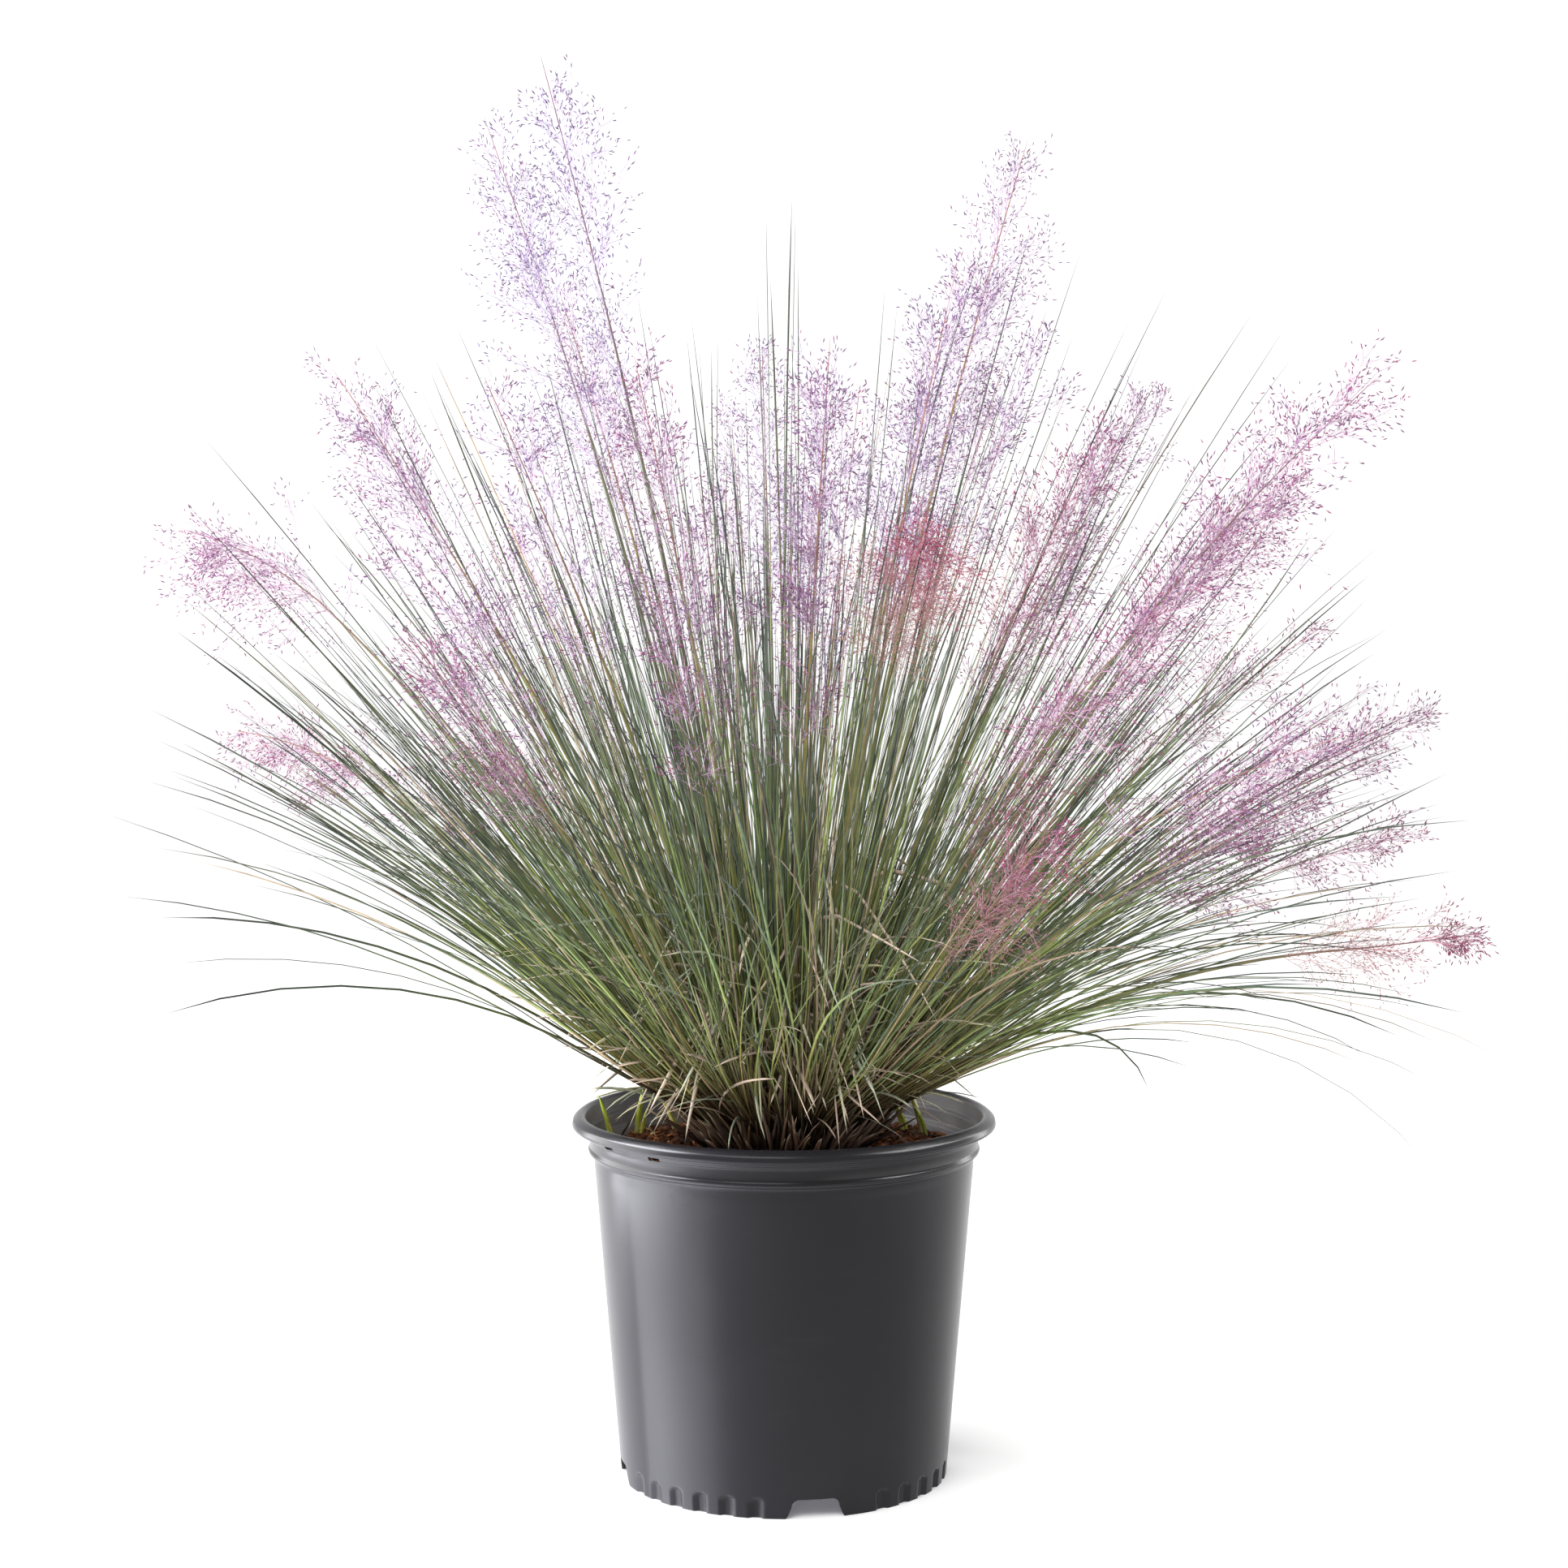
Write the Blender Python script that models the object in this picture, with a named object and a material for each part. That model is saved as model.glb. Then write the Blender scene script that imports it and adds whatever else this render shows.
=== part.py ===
"""Potted muhly grass: a clump of fine arching leaves and airy pink flower plumes in a nursery pot.

Metres, +Z up. The origin is the centre of the pot's base, on the surface that the pot stands on.
An azimuth is in degrees around the pot: 0 is the front (-Y) and 90 is the right side (+X).
"""

import math
import random

import bmesh
import bpy
from mathutils import Matrix, Vector

# Pot
RIM_RADIUS = 0.1400
RIM_HEIGHT = 0.2413
COLLAR_RADIUS = 0.1292
COLLAR_TOP = 0.2300
BODY_TOP_RADIUS = 0.1252
BODY_TOP_HEIGHT = 0.2090
BASE_RADIUS = 0.1081
WALL = 0.0016
INNER_STEP_HEIGHT = 0.2205
FLOOR_UNDERSIDE = 0.0145
FLOOR_TOP = FLOOR_UNDERSIDE + WALL
POT_SIDES = 72

# Drain notches and flutes round the pot's foot
NOTCH_COUNT = 4
NOTCH_AZIMUTH = 10.7
NOTCH_HALF_WIDTH = 0.0205
NOTCH_HEIGHT = 0.0125
NOTCH_CORNER = 0.0050
FLUTE_HEIGHT = 0.0135
FLUTE_DEPTH = 0.0012
FLUTE_PITCH = 10
FLUTES_PER_QUARTER = (5, 6, 5, 6)

# Potting mix and crown
GAP = 0.0003
MIX_EDGE_HEIGHT = 0.2090
MIX_CROWN_HEIGHT = 0.2165
MIX_SIDES = 36
CROWN_RADIUS = 0.0765
CROWN_TOP = 0.2283
CROWN_RIBS = 18
RIB_DEPTH = 0.0015

# Leaves: each starts at a fraction of the clump's radius, which also sets how far it leans and arches
CLUMP_RADIUS = 0.068
TUFT_TOP = 0.2383
LEAN_AT_EDGE = 48
ARCH_AT_CENTRE = 6
ARCH_AT_EDGE = 40
LONGEST_LEAF = 0.61
EDGE_LEAF = 0.44
LEAF_HALF_WIDTH = 0.0016
SHORTEST_SHARE = 0.74
LONG_LEAF_SHARE = 1.1
PLUME_CLEARANCE = 0.006
REACH_LEFT = 0.455
REACH_RIGHT = 0.442
REACH_DEEP = 0.430

# Stations along a leaf up to its tip: share of its length, and half-width
STATIONS_OF_ARCHED_LEAF = ((0.42, 0.0015), (0.72, 0.0012))
STATIONS_OF_UPRIGHT_LEAF = ((0.50, 0.0014),)
FIRST_STATION = 0.05

# Tuft rings: inner and outer fraction of the clump's radius, tufts, and leaf pairs in a tuft
TUFT_RINGS = (
    (0.03, 0.22, 2, 3),
    (0.30, 0.42, 4, 4),
    (0.50, 0.62, 5, 4),
    (0.70, 0.82, 6, 5),
    (0.90, 1.02, 7, 5),
)
TUFT_SPACING = 0.0012

# Flower stalks stand in the channels between the tuft rings:
# channel as a fraction of the clump's radius, azimuth, length, plume length, plume radius, and nod
FLOWER_STALKS = (
    (0.26, -115, 0.70, 0.19, 0.024, 0),
    (0.26, -40, 0.70, 0.17, 0.024, 0),
    (0.26, 130, 0.69, 0.17, 0.024, 0),
    (0.26, 36, 0.57, 0.16, 0.022, 0),
    (0.46, -90, 0.56, 0.18, 0.025, 0),
    (0.66, -105, 0.56, 0.13, 0.022, 25),
    (0.86, -117, 0.47, 0.12, 0.018, 15),
    (0.46, -38, 0.54, 0.15, 0.022, 0),
    (0.46, -151, 0.65, 0.17, 0.024, 0),
    (0.46, -17, 0.55, 0.15, 0.020, 0),
    (0.46, -177, 0.60, 0.16, 0.024, 0),
    (0.46, 5, 0.56, 0.15, 0.020, 0),
    (0.46, 19, 0.47, 0.12, 0.018, 40),
    (0.46, 46, 0.50, 0.14, 0.020, 0),
    (0.46, 118, 0.56, 0.15, 0.022, 0),
    (0.66, 40, 0.65, 0.18, 0.026, 0),
    (0.66, 120, 0.57, 0.18, 0.026, 0),
    (0.86, 100, 0.48, 0.15, 0.022, 0),
    (1.06, 80, 0.41, 0.10, 0.016, -15),
    (0.86, 70, 0.38, 0.12, 0.018, 0),
    (0.66, -117, 0.32, 0.10, 0.018, 25),
    (0.86, 30, 0.34, 0.12, 0.018, -25),
    (0.66, -45, 0.42, 0.12, 0.018, 0),
    (0.66, 165, 0.58, 0.16, 0.024, 0),
)
STALK_SIDES = 5
STALK_RADIUS = 0.0016
PLUME_NECK_RADIUS = 0.0010

# Green sprouts in the potting mix: x, y, height and sideways lean of the tip
SPROUTS = (
    (-0.1150, 0.0150, 0.038, -0.006),
    (-0.1000, 0.0480, 0.036, 0.003),
    (-0.0740, 0.0460, 0.026, -0.008),
    (0.0800, 0.0450, 0.036, -0.007),
    (0.0930, 0.0360, 0.042, -0.010),
)
SPROUT_HALF_WIDTH = 0.0017

COLOURS = {
    "pot": (0.045, 0.043, 0.048),
    "mix": (0.075, 0.035, 0.018),
    "crown": (0.050, 0.038, 0.026),
    "leaf": (0.150, 0.190, 0.085),
    "plume": (0.420, 0.150, 0.300),
    "sprout": (0.330, 0.430, 0.040),
}


def clear_scene():
    for old in list(bpy.data.objects):
        bpy.data.objects.remove(old, do_unlink=True)


def plain_material(name, colour, roughness):
    material = bpy.data.materials.new(name)
    material.use_nodes = True
    shader = material.node_tree.nodes["Principled BSDF"]
    shader.inputs["Base Color"].default_value = (*colour, 1.0)
    shader.inputs["Roughness"].default_value = roughness
    shader.inputs["Metallic"].default_value = 0.0
    return material


def new_piece(name, bm, colour, roughness, smooth=False):
    bmesh.ops.recalc_face_normals(bm, faces=bm.faces)
    mesh = bpy.data.meshes.new(name)
    bm.to_mesh(mesh)
    bm.free()
    if smooth:
        mesh.shade_smooth()
        mesh.set_sharp_from_angle(angle=math.radians(35))
    piece = bpy.data.objects.new(name, mesh)
    bpy.context.scene.collection.objects.link(piece)
    piece.data.materials.append(plain_material(name, COLOURS[colour], roughness))
    return piece


def outward(azimuth):
    angle = math.radians(azimuth)
    return Vector((math.sin(angle), -math.cos(angle), 0.0))


def azimuth_of(point):
    return math.degrees(math.atan2(point.x, -point.y))


def turned(outline, sides, start_azimuth):
    """A body of revolution: the outline of (radius, height) points starts and ends on the axis."""
    bm = bmesh.new()
    start = outward(start_azimuth)
    points = [bm.verts.new(start * radius + Vector((0, 0, height))) for radius, height in outline]
    edges = [bm.edges.new(pair) for pair in zip(points, points[1:])]
    bmesh.ops.spin(
        bm, geom=points + edges, cent=(0, 0, 0), axis=(0, 0, 1),
        angle=math.tau, steps=sides, use_merge=True,
    )
    bmesh.ops.remove_doubles(bm, verts=bm.verts, dist=0.00001)
    return bm


def outer_wall_radius(height):
    return BASE_RADIUS + (BODY_TOP_RADIUS - BASE_RADIUS) * height / BODY_TOP_HEIGHT


def inner_wall_radius(height):
    return outer_wall_radius(height) - WALL


def pot_outline():
    inside = (
        (0.0, FLOOR_TOP),
        (inner_wall_radius(FLOOR_TOP), FLOOR_TOP),
        (inner_wall_radius(INNER_STEP_HEIGHT - 0.002), INNER_STEP_HEIGHT - 0.002),
        (COLLAR_RADIUS - WALL, INNER_STEP_HEIGHT),
        (COLLAR_RADIUS + 0.0015, RIM_HEIGHT - 0.002),
    )
    lip = (
        (RIM_RADIUS - 0.0055, RIM_HEIGHT),
        (RIM_RADIUS - 0.0010, RIM_HEIGHT - 0.0030),
        (RIM_RADIUS, RIM_HEIGHT - 0.0068),
        (RIM_RADIUS - 0.0006, RIM_HEIGHT - 0.0082),
    )
    collar = (
        (COLLAR_RADIUS, COLLAR_TOP),
        (COLLAR_RADIUS - 0.0008, BODY_TOP_HEIGHT + 0.0070),
    )
    foot = (
        (BODY_TOP_RADIUS, BODY_TOP_HEIGHT),
        (outer_wall_radius(FLUTE_HEIGHT), FLUTE_HEIGHT),
        (BASE_RADIUS, 0.0),
        (BASE_RADIUS - WALL, 0.0),
        (inner_wall_radius(FLOOR_UNDERSIDE), FLOOR_UNDERSIDE),
        (0.0, FLOOR_UNDERSIDE),
    )
    return inside + lip + collar + foot


def is_fluted(face):
    """Whether a face of the pot's foot is one of the flutes, which leave each notch a plain margin."""
    centre = face.calc_center_median()
    upright = abs(face.normal.z) < 0.5
    if not upright or centre.z > FLUTE_HEIGHT or centre.xy.length < BASE_RADIUS * 0.995:
        return False
    from_notch = (azimuth_of(centre) - NOTCH_AZIMUTH) % 360
    quarter = int(from_notch // 90)
    from_middle = from_notch % 90 - 45
    flutes = FLUTES_PER_QUARTER[quarter]
    places = [(number - (flutes - 1) / 2) * FLUTE_PITCH for number in range(flutes)]
    return any(abs(from_middle - place) < FLUTE_PITCH / 20 for place in places)


def notch_cutter():
    """Four round-cornered blocks that cut the drain notches through the pot's foot."""
    bm = bmesh.new()
    top = NOTCH_HEIGHT - NOTCH_CORNER
    arc = [math.radians(angle) for angle in (0, 30, 60, 90)]
    half = [
        (NOTCH_HALF_WIDTH - NOTCH_CORNER * (2 - math.cos(a)), top + NOTCH_CORNER * math.sin(a)) for a in arc
    ]
    half = [(NOTCH_HALF_WIDTH, -0.002), *half]
    section = half + [(-across, height) for across, height in reversed(half)]
    for number in range(NOTCH_COUNT):
        azimuth = NOTCH_AZIMUTH + number * 360 / NOTCH_COUNT
        out = outward(azimuth)
        side = outward(azimuth + 90)
        start = out * (BASE_RADIUS - 0.012)
        ring = [bm.verts.new(start + side * across + Vector((0, 0, height))) for across, height in section]
        grown = bmesh.ops.extrude_face_region(bm, geom=[bm.faces.new(ring)])
        moved = [item for item in grown["geom"] if isinstance(item, bmesh.types.BMVert)]
        bmesh.ops.translate(bm, vec=out * 0.024, verts=moved)
    return new_piece("drain_notch_cutter", bm, "pot", 0.5)


def make_pot():
    side_angle = 360 / POT_SIDES
    bm = turned(pot_outline(), POT_SIDES, NOTCH_AZIMUTH + side_angle / 2)
    bmesh.ops.recalc_face_normals(bm, faces=bm.faces)
    flutes = [face for face in bm.faces if is_fluted(face)]
    bmesh.ops.inset_individual(bm, faces=flutes, thickness=0.0008, depth=-FLUTE_DEPTH, use_even_offset=True)
    pot = new_piece("nursery_pot", bm, "pot", 0.35, smooth=True)
    cutter = notch_cutter()
    cutter.hide_render = True
    cutter.display_type = "WIRE"
    notches = pot.modifiers.new("drain notches", "BOOLEAN")
    notches.operation = "DIFFERENCE"
    notches.solver = "EXACT"
    notches.object = cutter


def mix_height(radius):
    """The potting mix rises a little from the pot's wall to the crown."""
    edge = inner_wall_radius(MIX_EDGE_HEIGHT)
    rise = (edge - radius) / (edge - CROWN_RADIUS - 0.004)
    return MIX_EDGE_HEIGHT + (MIX_CROWN_HEIGHT - MIX_EDGE_HEIGHT) * min(max(rise, 0.0), 1.0)


def make_potting_mix():
    clearance = GAP + 0.0004
    outline = [
        (0.0, FLOOR_TOP + GAP),
        (inner_wall_radius(FLOOR_TOP) - clearance, FLOOR_TOP + GAP),
        (inner_wall_radius(MIX_EDGE_HEIGHT) - clearance, MIX_EDGE_HEIGHT),
        (CROWN_RADIUS + 0.004, MIX_CROWN_HEIGHT),
        (0.0, MIX_CROWN_HEIGHT),
    ]
    new_piece("potting_mix", turned(outline, MIX_SIDES, 0), "mix", 0.9)


def make_crown():
    """The dark woody base that all shoots grow from, ribbed by the old leaf sheaths round it."""
    foot = MIX_CROWN_HEIGHT + GAP
    outline = [(0.0, foot), (CROWN_RADIUS, foot), (CROWN_RADIUS, CROWN_TOP), (0.0, CROWN_TOP)]
    bm = turned(outline, CROWN_RIBS * 2, 0)
    for vert in bm.verts:
        rib = round(azimuth_of(vert.co) * CROWN_RIBS / 180)
        if rib % 2:
            inward = -outward(azimuth_of(vert.co)) * RIB_DEPTH
            vert.co += inward if vert.co.xy.length > CROWN_RADIUS / 2 else Vector()
    new_piece("crown", bm, "crown", 0.8)


def usual_reach(fraction):
    """How long a leaf grows: the outer ones of the clump are shorter."""
    outer = max(0.0, (fraction - 0.45) / 0.55)
    return LONGEST_LEAF - (LONGEST_LEAF - EDGE_LEAF) * outer**1.3


def strand_point(fraction, azimuth, along):
    """The point and the lean at a distance along a shoot. Shoots fan out, so no two of them cross."""
    lean = math.radians(LEAN_AT_EDGE * fraction)
    arch = math.radians(ARCH_AT_CENTRE + (ARCH_AT_EDGE - ARCH_AT_CENTRE) * fraction**2)
    bend = arch / usual_reach(fraction)
    now = lean + bend * along
    radius = CLUMP_RADIUS * fraction + (math.cos(lean) - math.cos(now)) / bend
    height = TUFT_TOP + (math.sin(now) - math.sin(lean)) / bend
    return outward(azimuth) * radius + Vector((0, 0, height)), now


def across(azimuth, lean):
    """The two directions of a shoot's cross-section."""
    tilted = outward(azimuth) * math.cos(lean) - Vector((0, 0, math.sin(lean)))
    return tilted, outward(azimuth + 90)


def stalk_point(stalk, along):
    """As strand_point, with the plume's own nod towards its tip."""
    channel, azimuth, length, plume_length, _radius, nod = stalk
    neck = length - plume_length
    point, lean = strand_point(channel, azimuth, min(along, neck) if nod else along)
    if not nod or along <= neck:
        return point, lean
    bend = math.radians(nod) / plume_length
    bend += math.radians(ARCH_AT_EDGE * channel) / length
    now = lean + bend * (along - neck)
    reach = (math.cos(lean) - math.cos(now)) / bend
    rise = (math.sin(now) - math.sin(lean)) / bend
    return point + outward(azimuth) * reach + Vector((0, 0, rise)), now


def plume_radius_at(stalk, along):
    """The stem's radius, or past its neck the plume's, which is widest below the middle."""
    _channel, _azimuth, length, plume_length, radius, _nod = stalk
    up = (along - (length - plume_length)) / plume_length
    if up <= 0:
        return STALK_RADIUS + (PLUME_NECK_RADIUS - STALK_RADIUS) * along / (length - plume_length)
    return PLUME_NECK_RADIUS + (radius - PLUME_NECK_RADIUS) * math.sin(math.pi * min(up, 1.0) ** 0.75)


def stalk_samples():
    samples = []
    for stalk in FLOWER_STALKS:
        length = stalk[2]
        for step in range(8, int(length / 0.01) + 1):
            along = step * 0.01
            samples.append((stalk_point(stalk, along)[0], plume_radius_at(stalk, along)))
    return samples


def clear_length(fraction, azimuth, wanted, samples):
    """A leaf ends before it meets a plume, and inside the plant's reach."""
    along = 0.08
    while along < wanted:
        point = strand_point(fraction, azimuth, along + 0.005)[0]
        outside = not (-REACH_LEFT <= point.x <= REACH_RIGHT) or abs(point.y) > REACH_DEEP
        meets = any((point - other).length < radius + PLUME_CLEARANCE for other, radius in samples)
        if outside or meets:
            return along
        along += 0.005
    return wanted


def grow(bm, face, point, tilted, side, scale, old_centre, old_tilted, old_side):
    """Extrudes a face to its next station along a shoot, and returns the new end face."""
    end = bmesh.ops.extrude_discrete_faces(bm, faces=[face])["faces"][0]
    for vert in end.verts:
        offset = vert.co - old_centre
        vert.co = point + (tilted * offset.dot(old_tilted) + side * offset.dot(old_side)) * scale
    return end


def grow_leaf(bm, face, samples, chance):
    centre = face.calc_center_median()
    azimuth = azimuth_of(centre)
    fraction = centre.xy.length / CLUMP_RADIUS
    wanted = usual_reach(fraction) * chance.uniform(SHORTEST_SHARE, 1.0)
    near_an_axis = min(azimuth % 90, 90 - azimuth % 90) < 9
    if fraction > 0.85 and near_an_axis:
        wanted = usual_reach(fraction) * LONG_LEAF_SHARE
    length = clear_length(fraction, azimuth, wanted, samples)
    cell = max((vert.co - centre).length for vert in face.verts)
    shares = STATIONS_OF_UPRIGHT_LEAF if fraction < 0.45 else STATIONS_OF_ARCHED_LEAF
    stations = [(FIRST_STATION, LEAF_HALF_WIDTH)] + [(share * length, half) for share, half in shares]
    old_tilted, old_side, width = outward(azimuth), outward(azimuth + 90), cell
    for along, half_width in stations:
        point, lean = strand_point(fraction, azimuth, along)
        tilted, side = across(azimuth, lean)
        face = grow(bm, face, point, tilted, side, half_width / width, centre, old_tilted, old_side)
        centre, old_tilted, old_side, width = point, tilted, side, half_width
    tip, lean = strand_point(fraction, azimuth, length)
    tilted, side = across(azimuth, lean)
    face = grow(bm, face, tip, tilted, side, 0.1, centre, old_tilted, old_side)
    bmesh.ops.pointmerge(bm, verts=face.verts[:], merge_co=tip)


def make_tuft(name, ring, number, samples, chance):
    """A tuft: a block of bundled leaf bases whose top is divided in cells, each grown into one leaf."""
    inner, outer, tufts, pairs = ring
    middle = (inner + outer) / 2
    span = 360 / tufts - math.degrees(TUFT_SPACING / (middle * CLUMP_RADIUS))
    centre_azimuth = (number + 0.5) * 360 / tufts
    bm = bmesh.new()
    bmesh.ops.create_grid(bm, x_segments=pairs, y_segments=1, size=0.5)
    for vert in bm.verts:
        azimuth = centre_azimuth + vert.co.x * span
        fraction = middle + vert.co.y * (outer - inner)
        vert.co = outward(azimuth) * fraction * CLUMP_RADIUS + Vector((0, 0, TUFT_TOP))
    bmesh.ops.triangulate(bm, faces=bm.faces[:])
    foot = bmesh.ops.extrude_face_region(bm, geom=bm.faces[:])["geom"]
    lowered = [item for item in foot if isinstance(item, bmesh.types.BMVert)]
    bmesh.ops.translate(bm, vec=(0, 0, CROWN_TOP + GAP - TUFT_TOP), verts=lowered)
    bmesh.ops.recalc_face_normals(bm, faces=bm.faces)
    cells = [face for face in bm.faces if face.normal.z > 0.9]
    for cell in cells:
        grow_leaf(bm, cell, samples, chance)
    new_piece(name, bm, "leaf", 0.6)


def make_tufts():
    chance = random.Random(11)
    samples = stalk_samples()
    count = 0
    for ring in TUFT_RINGS:
        for number in range(ring[2]):
            count += 1
            make_tuft(f"leaf_tuft_{count:02d}", ring, number, samples, chance)


def make_stalk(name, stalk):
    """One flower stalk: a wiry stem that swells into the outline of its airy plume."""
    channel, azimuth, length, plume_length, _radius, _nod = stalk
    bm = bmesh.new()
    foot = outward(azimuth) * channel * CLUMP_RADIUS + Vector((0, 0, CROWN_TOP + GAP))
    bmesh.ops.create_circle(
        bm, cap_ends=True, segments=STALK_SIDES, radius=STALK_RADIUS, matrix=Matrix.Translation(foot)
    )
    face = bm.faces[:][0]
    neck = length - plume_length
    stem = [0.0, 0.12, 0.5 * (0.12 + neck), neck]
    plume = [neck + plume_length * part for part in (0.14, 0.32, 0.55, 0.80)]
    centre, old_tilted, old_side, width = foot, outward(azimuth), outward(azimuth + 90), STALK_RADIUS
    for along in stem + plume:
        point, lean = stalk_point(stalk, along)
        tilted, side = across(azimuth, lean if along else 0.0)
        radius = plume_radius_at(stalk, along)
        end = grow(bm, face, point, tilted, side, radius / width, centre, old_tilted, old_side)
        if along == stem[0]:
            bm.faces.new([vert for vert in bm.verts if abs(vert.co.z - foot.z) < 0.00001])
        face, centre, old_tilted, old_side, width = end, point, tilted, side, radius
    tip, lean = stalk_point(stalk, length)
    tilted, side = across(azimuth, lean)
    face = grow(bm, face, tip, tilted, side, 0.1, centre, old_tilted, old_side)
    bmesh.ops.pointmerge(bm, verts=face.verts[:], merge_co=tip)
    new_piece(name, bm, "plume", 0.7)


def make_sprout(name, x, y, height, tip_lean):
    bm = bmesh.new()
    foot = Vector((x, y, mix_height(math.hypot(x, y) - SPROUT_HALF_WIDTH) + GAP))
    bmesh.ops.create_cone(
        bm, cap_ends=True, segments=3, radius1=SPROUT_HALF_WIDTH, radius2=SPROUT_HALF_WIDTH * 0.8,
        depth=height / 2, matrix=Matrix.Translation(foot + Vector((0, 0, height / 4))),
    )
    upper = [vert for vert in bm.verts if vert.co.z > foot.z + height / 4]
    bmesh.ops.translate(bm, vec=(tip_lean / 3, 0, 0), verts=upper)
    top = max(bm.faces, key=lambda face: face.calc_center_median().z)
    end = bmesh.ops.extrude_discrete_faces(bm, faces=[top])["faces"][0]
    tip = foot + Vector((tip_lean, 0, height))
    bmesh.ops.pointmerge(bm, verts=end.verts[:], merge_co=tip)
    new_piece(name, bm, "sprout", 0.5)


def main():
    clear_scene()
    make_pot()
    make_potting_mix()
    make_crown()
    make_tufts()
    for number, stalk in enumerate(FLOWER_STALKS, 1):
        make_stalk(f"flower_stalk_{number:02d}", stalk)
    for number, sprout in enumerate(SPROUTS, 1):
        make_sprout(f"sprout_{number:02d}", *sprout)


main()
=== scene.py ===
"""Looks of the potted muhly grass: thin leaves, airy plumes, bark mix and a satin plastic pot.

Metres, +Z up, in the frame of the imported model. An azimuth is in degrees around the pot:
0 is the front (-Y) and 90 is the right side (+X).
"""

import math

import bmesh
import bpy
import numpy as np
from mathutils import Matrix, Vector, noise


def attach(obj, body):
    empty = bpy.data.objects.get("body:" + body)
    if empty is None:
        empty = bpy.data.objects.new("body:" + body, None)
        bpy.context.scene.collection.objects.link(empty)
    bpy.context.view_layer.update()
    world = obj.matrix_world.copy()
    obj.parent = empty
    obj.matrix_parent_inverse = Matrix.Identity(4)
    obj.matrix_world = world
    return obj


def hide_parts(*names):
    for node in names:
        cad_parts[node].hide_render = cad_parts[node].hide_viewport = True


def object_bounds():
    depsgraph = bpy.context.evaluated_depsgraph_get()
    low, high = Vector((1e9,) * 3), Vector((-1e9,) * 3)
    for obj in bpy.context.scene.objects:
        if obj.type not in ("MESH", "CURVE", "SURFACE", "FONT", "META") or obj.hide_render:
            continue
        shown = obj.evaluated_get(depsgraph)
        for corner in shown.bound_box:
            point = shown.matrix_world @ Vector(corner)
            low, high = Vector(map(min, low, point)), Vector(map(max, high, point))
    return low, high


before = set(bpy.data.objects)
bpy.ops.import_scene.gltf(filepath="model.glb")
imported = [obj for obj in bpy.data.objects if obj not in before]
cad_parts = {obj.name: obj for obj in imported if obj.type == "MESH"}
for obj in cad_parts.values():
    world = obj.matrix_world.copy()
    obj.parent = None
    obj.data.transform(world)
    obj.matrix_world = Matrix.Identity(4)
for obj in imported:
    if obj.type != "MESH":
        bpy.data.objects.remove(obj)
cad_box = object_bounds()

# Pot, as in the CAD
RIM_RADIUS = 0.1400
RIM_HEIGHT = 0.2413
COLLAR_RADIUS = 0.1292
COLLAR_TOP = 0.2300
BODY_TOP_RADIUS = 0.1252
BODY_TOP_HEIGHT = 0.2090
BASE_RADIUS = 0.1081
WALL = 0.0016
INNER_STEP_HEIGHT = 0.2205
FLOOR_UNDERSIDE = 0.0145
FLOOR_TOP = 0.0161
NOTCH_AZIMUTH = 10.7
NOTCH_HALF_WIDTH = 0.0205
NOTCH_HEIGHT = 0.0125
NOTCH_CORNER = 0.0050
FLUTE_HEIGHT = 0.0135
FLUTE_DEPTH = 0.0021
FLUTE_PITCH = 10
FLUTES_PER_QUARTER = (5, 6, 5, 6)
FLUTE_HALF_WIDTH = math.radians(2.3) * BASE_RADIUS
FLUTE_EDGE = 0.0012
POT_SIDES = 360

# Slots under the lip: azimuth and width. Then how deep and tall they are, and where.
LIP_SLOTS = ((-60.0, 0.0105), (-39.1, 0.0095))
LIP_SLOT_DEPTH = 0.0080
LIP_SLOT_TALL = 0.0024
LIP_SLOT_HEIGHT = 0.2288

# The pot's outer profile, as steps from the edge of the rim, the top of the collar, the top of the body
RIM_PROFILE = (
    (-0.0070, 0.0), (-0.0040, -0.0006), (-0.0008, -0.0034), (0.0, -0.0068), (-0.0006, -0.0082),
    (-0.0018, -0.0080),
)
COLLAR_PROFILE = ((0.0014, 0.0010), (0.0010, -0.0012), (-0.0006, -0.0026))
COLLAR_FOOT_PROFILE = ((-0.0008, 0.0112), (0.0002, 0.0096), (0.0, 0.0076))
BODY_TOP_PROFILE = ((0.0008, 0.0058), (0.0002, 0.0040), (0.0, -0.002))
PROFILE_ROUNDING = 0.0009
FOOT_ROUNDING = 0.0004

# Potting mix and crown, as in the CAD
MIX_EDGE_HEIGHT = 0.2090
MIX_CROWN_HEIGHT = 0.2165
CROWN_RADIUS = 0.0765
CROWN_TOP = 0.2283
GAP = 0.0003
MIX_TO_WALL = 0.0007

# How the shoots fan out of the clump, as in the CAD
CLUMP_RADIUS = 0.068
TUFT_TOP = 0.2383
LEAN_AT_EDGE = 48
ARCH_AT_CENTRE = 6
ARCH_AT_EDGE = 40
LONGEST_LEAF = 0.61
EDGE_LEAF = 0.44
TUFT_COUNTS = (2, 4, 5, 6, 7)
RING_EDGES = (0.26, 0.46, 0.66, 0.86)

# Leaves and stems start this far over the crown
FOOT_RISE = 0.0015

# The feet of the shoots are drawn in towards the middle, by this share and over this length
DRAWN_IN = 0.33
DRAWN_IN_LENGTH = 0.10
CROWN_FOOT_RADIUS = 0.052

# Shoots keep this far inside the plant's box
BOX_MARGIN = 0.001

# Loose bark is heaped this high over the solid mix, outside a radius and over a slope
HEAP = 0.0045
HEAP_FROM = 0.060
HEAP_SLOPE = 0.020

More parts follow.
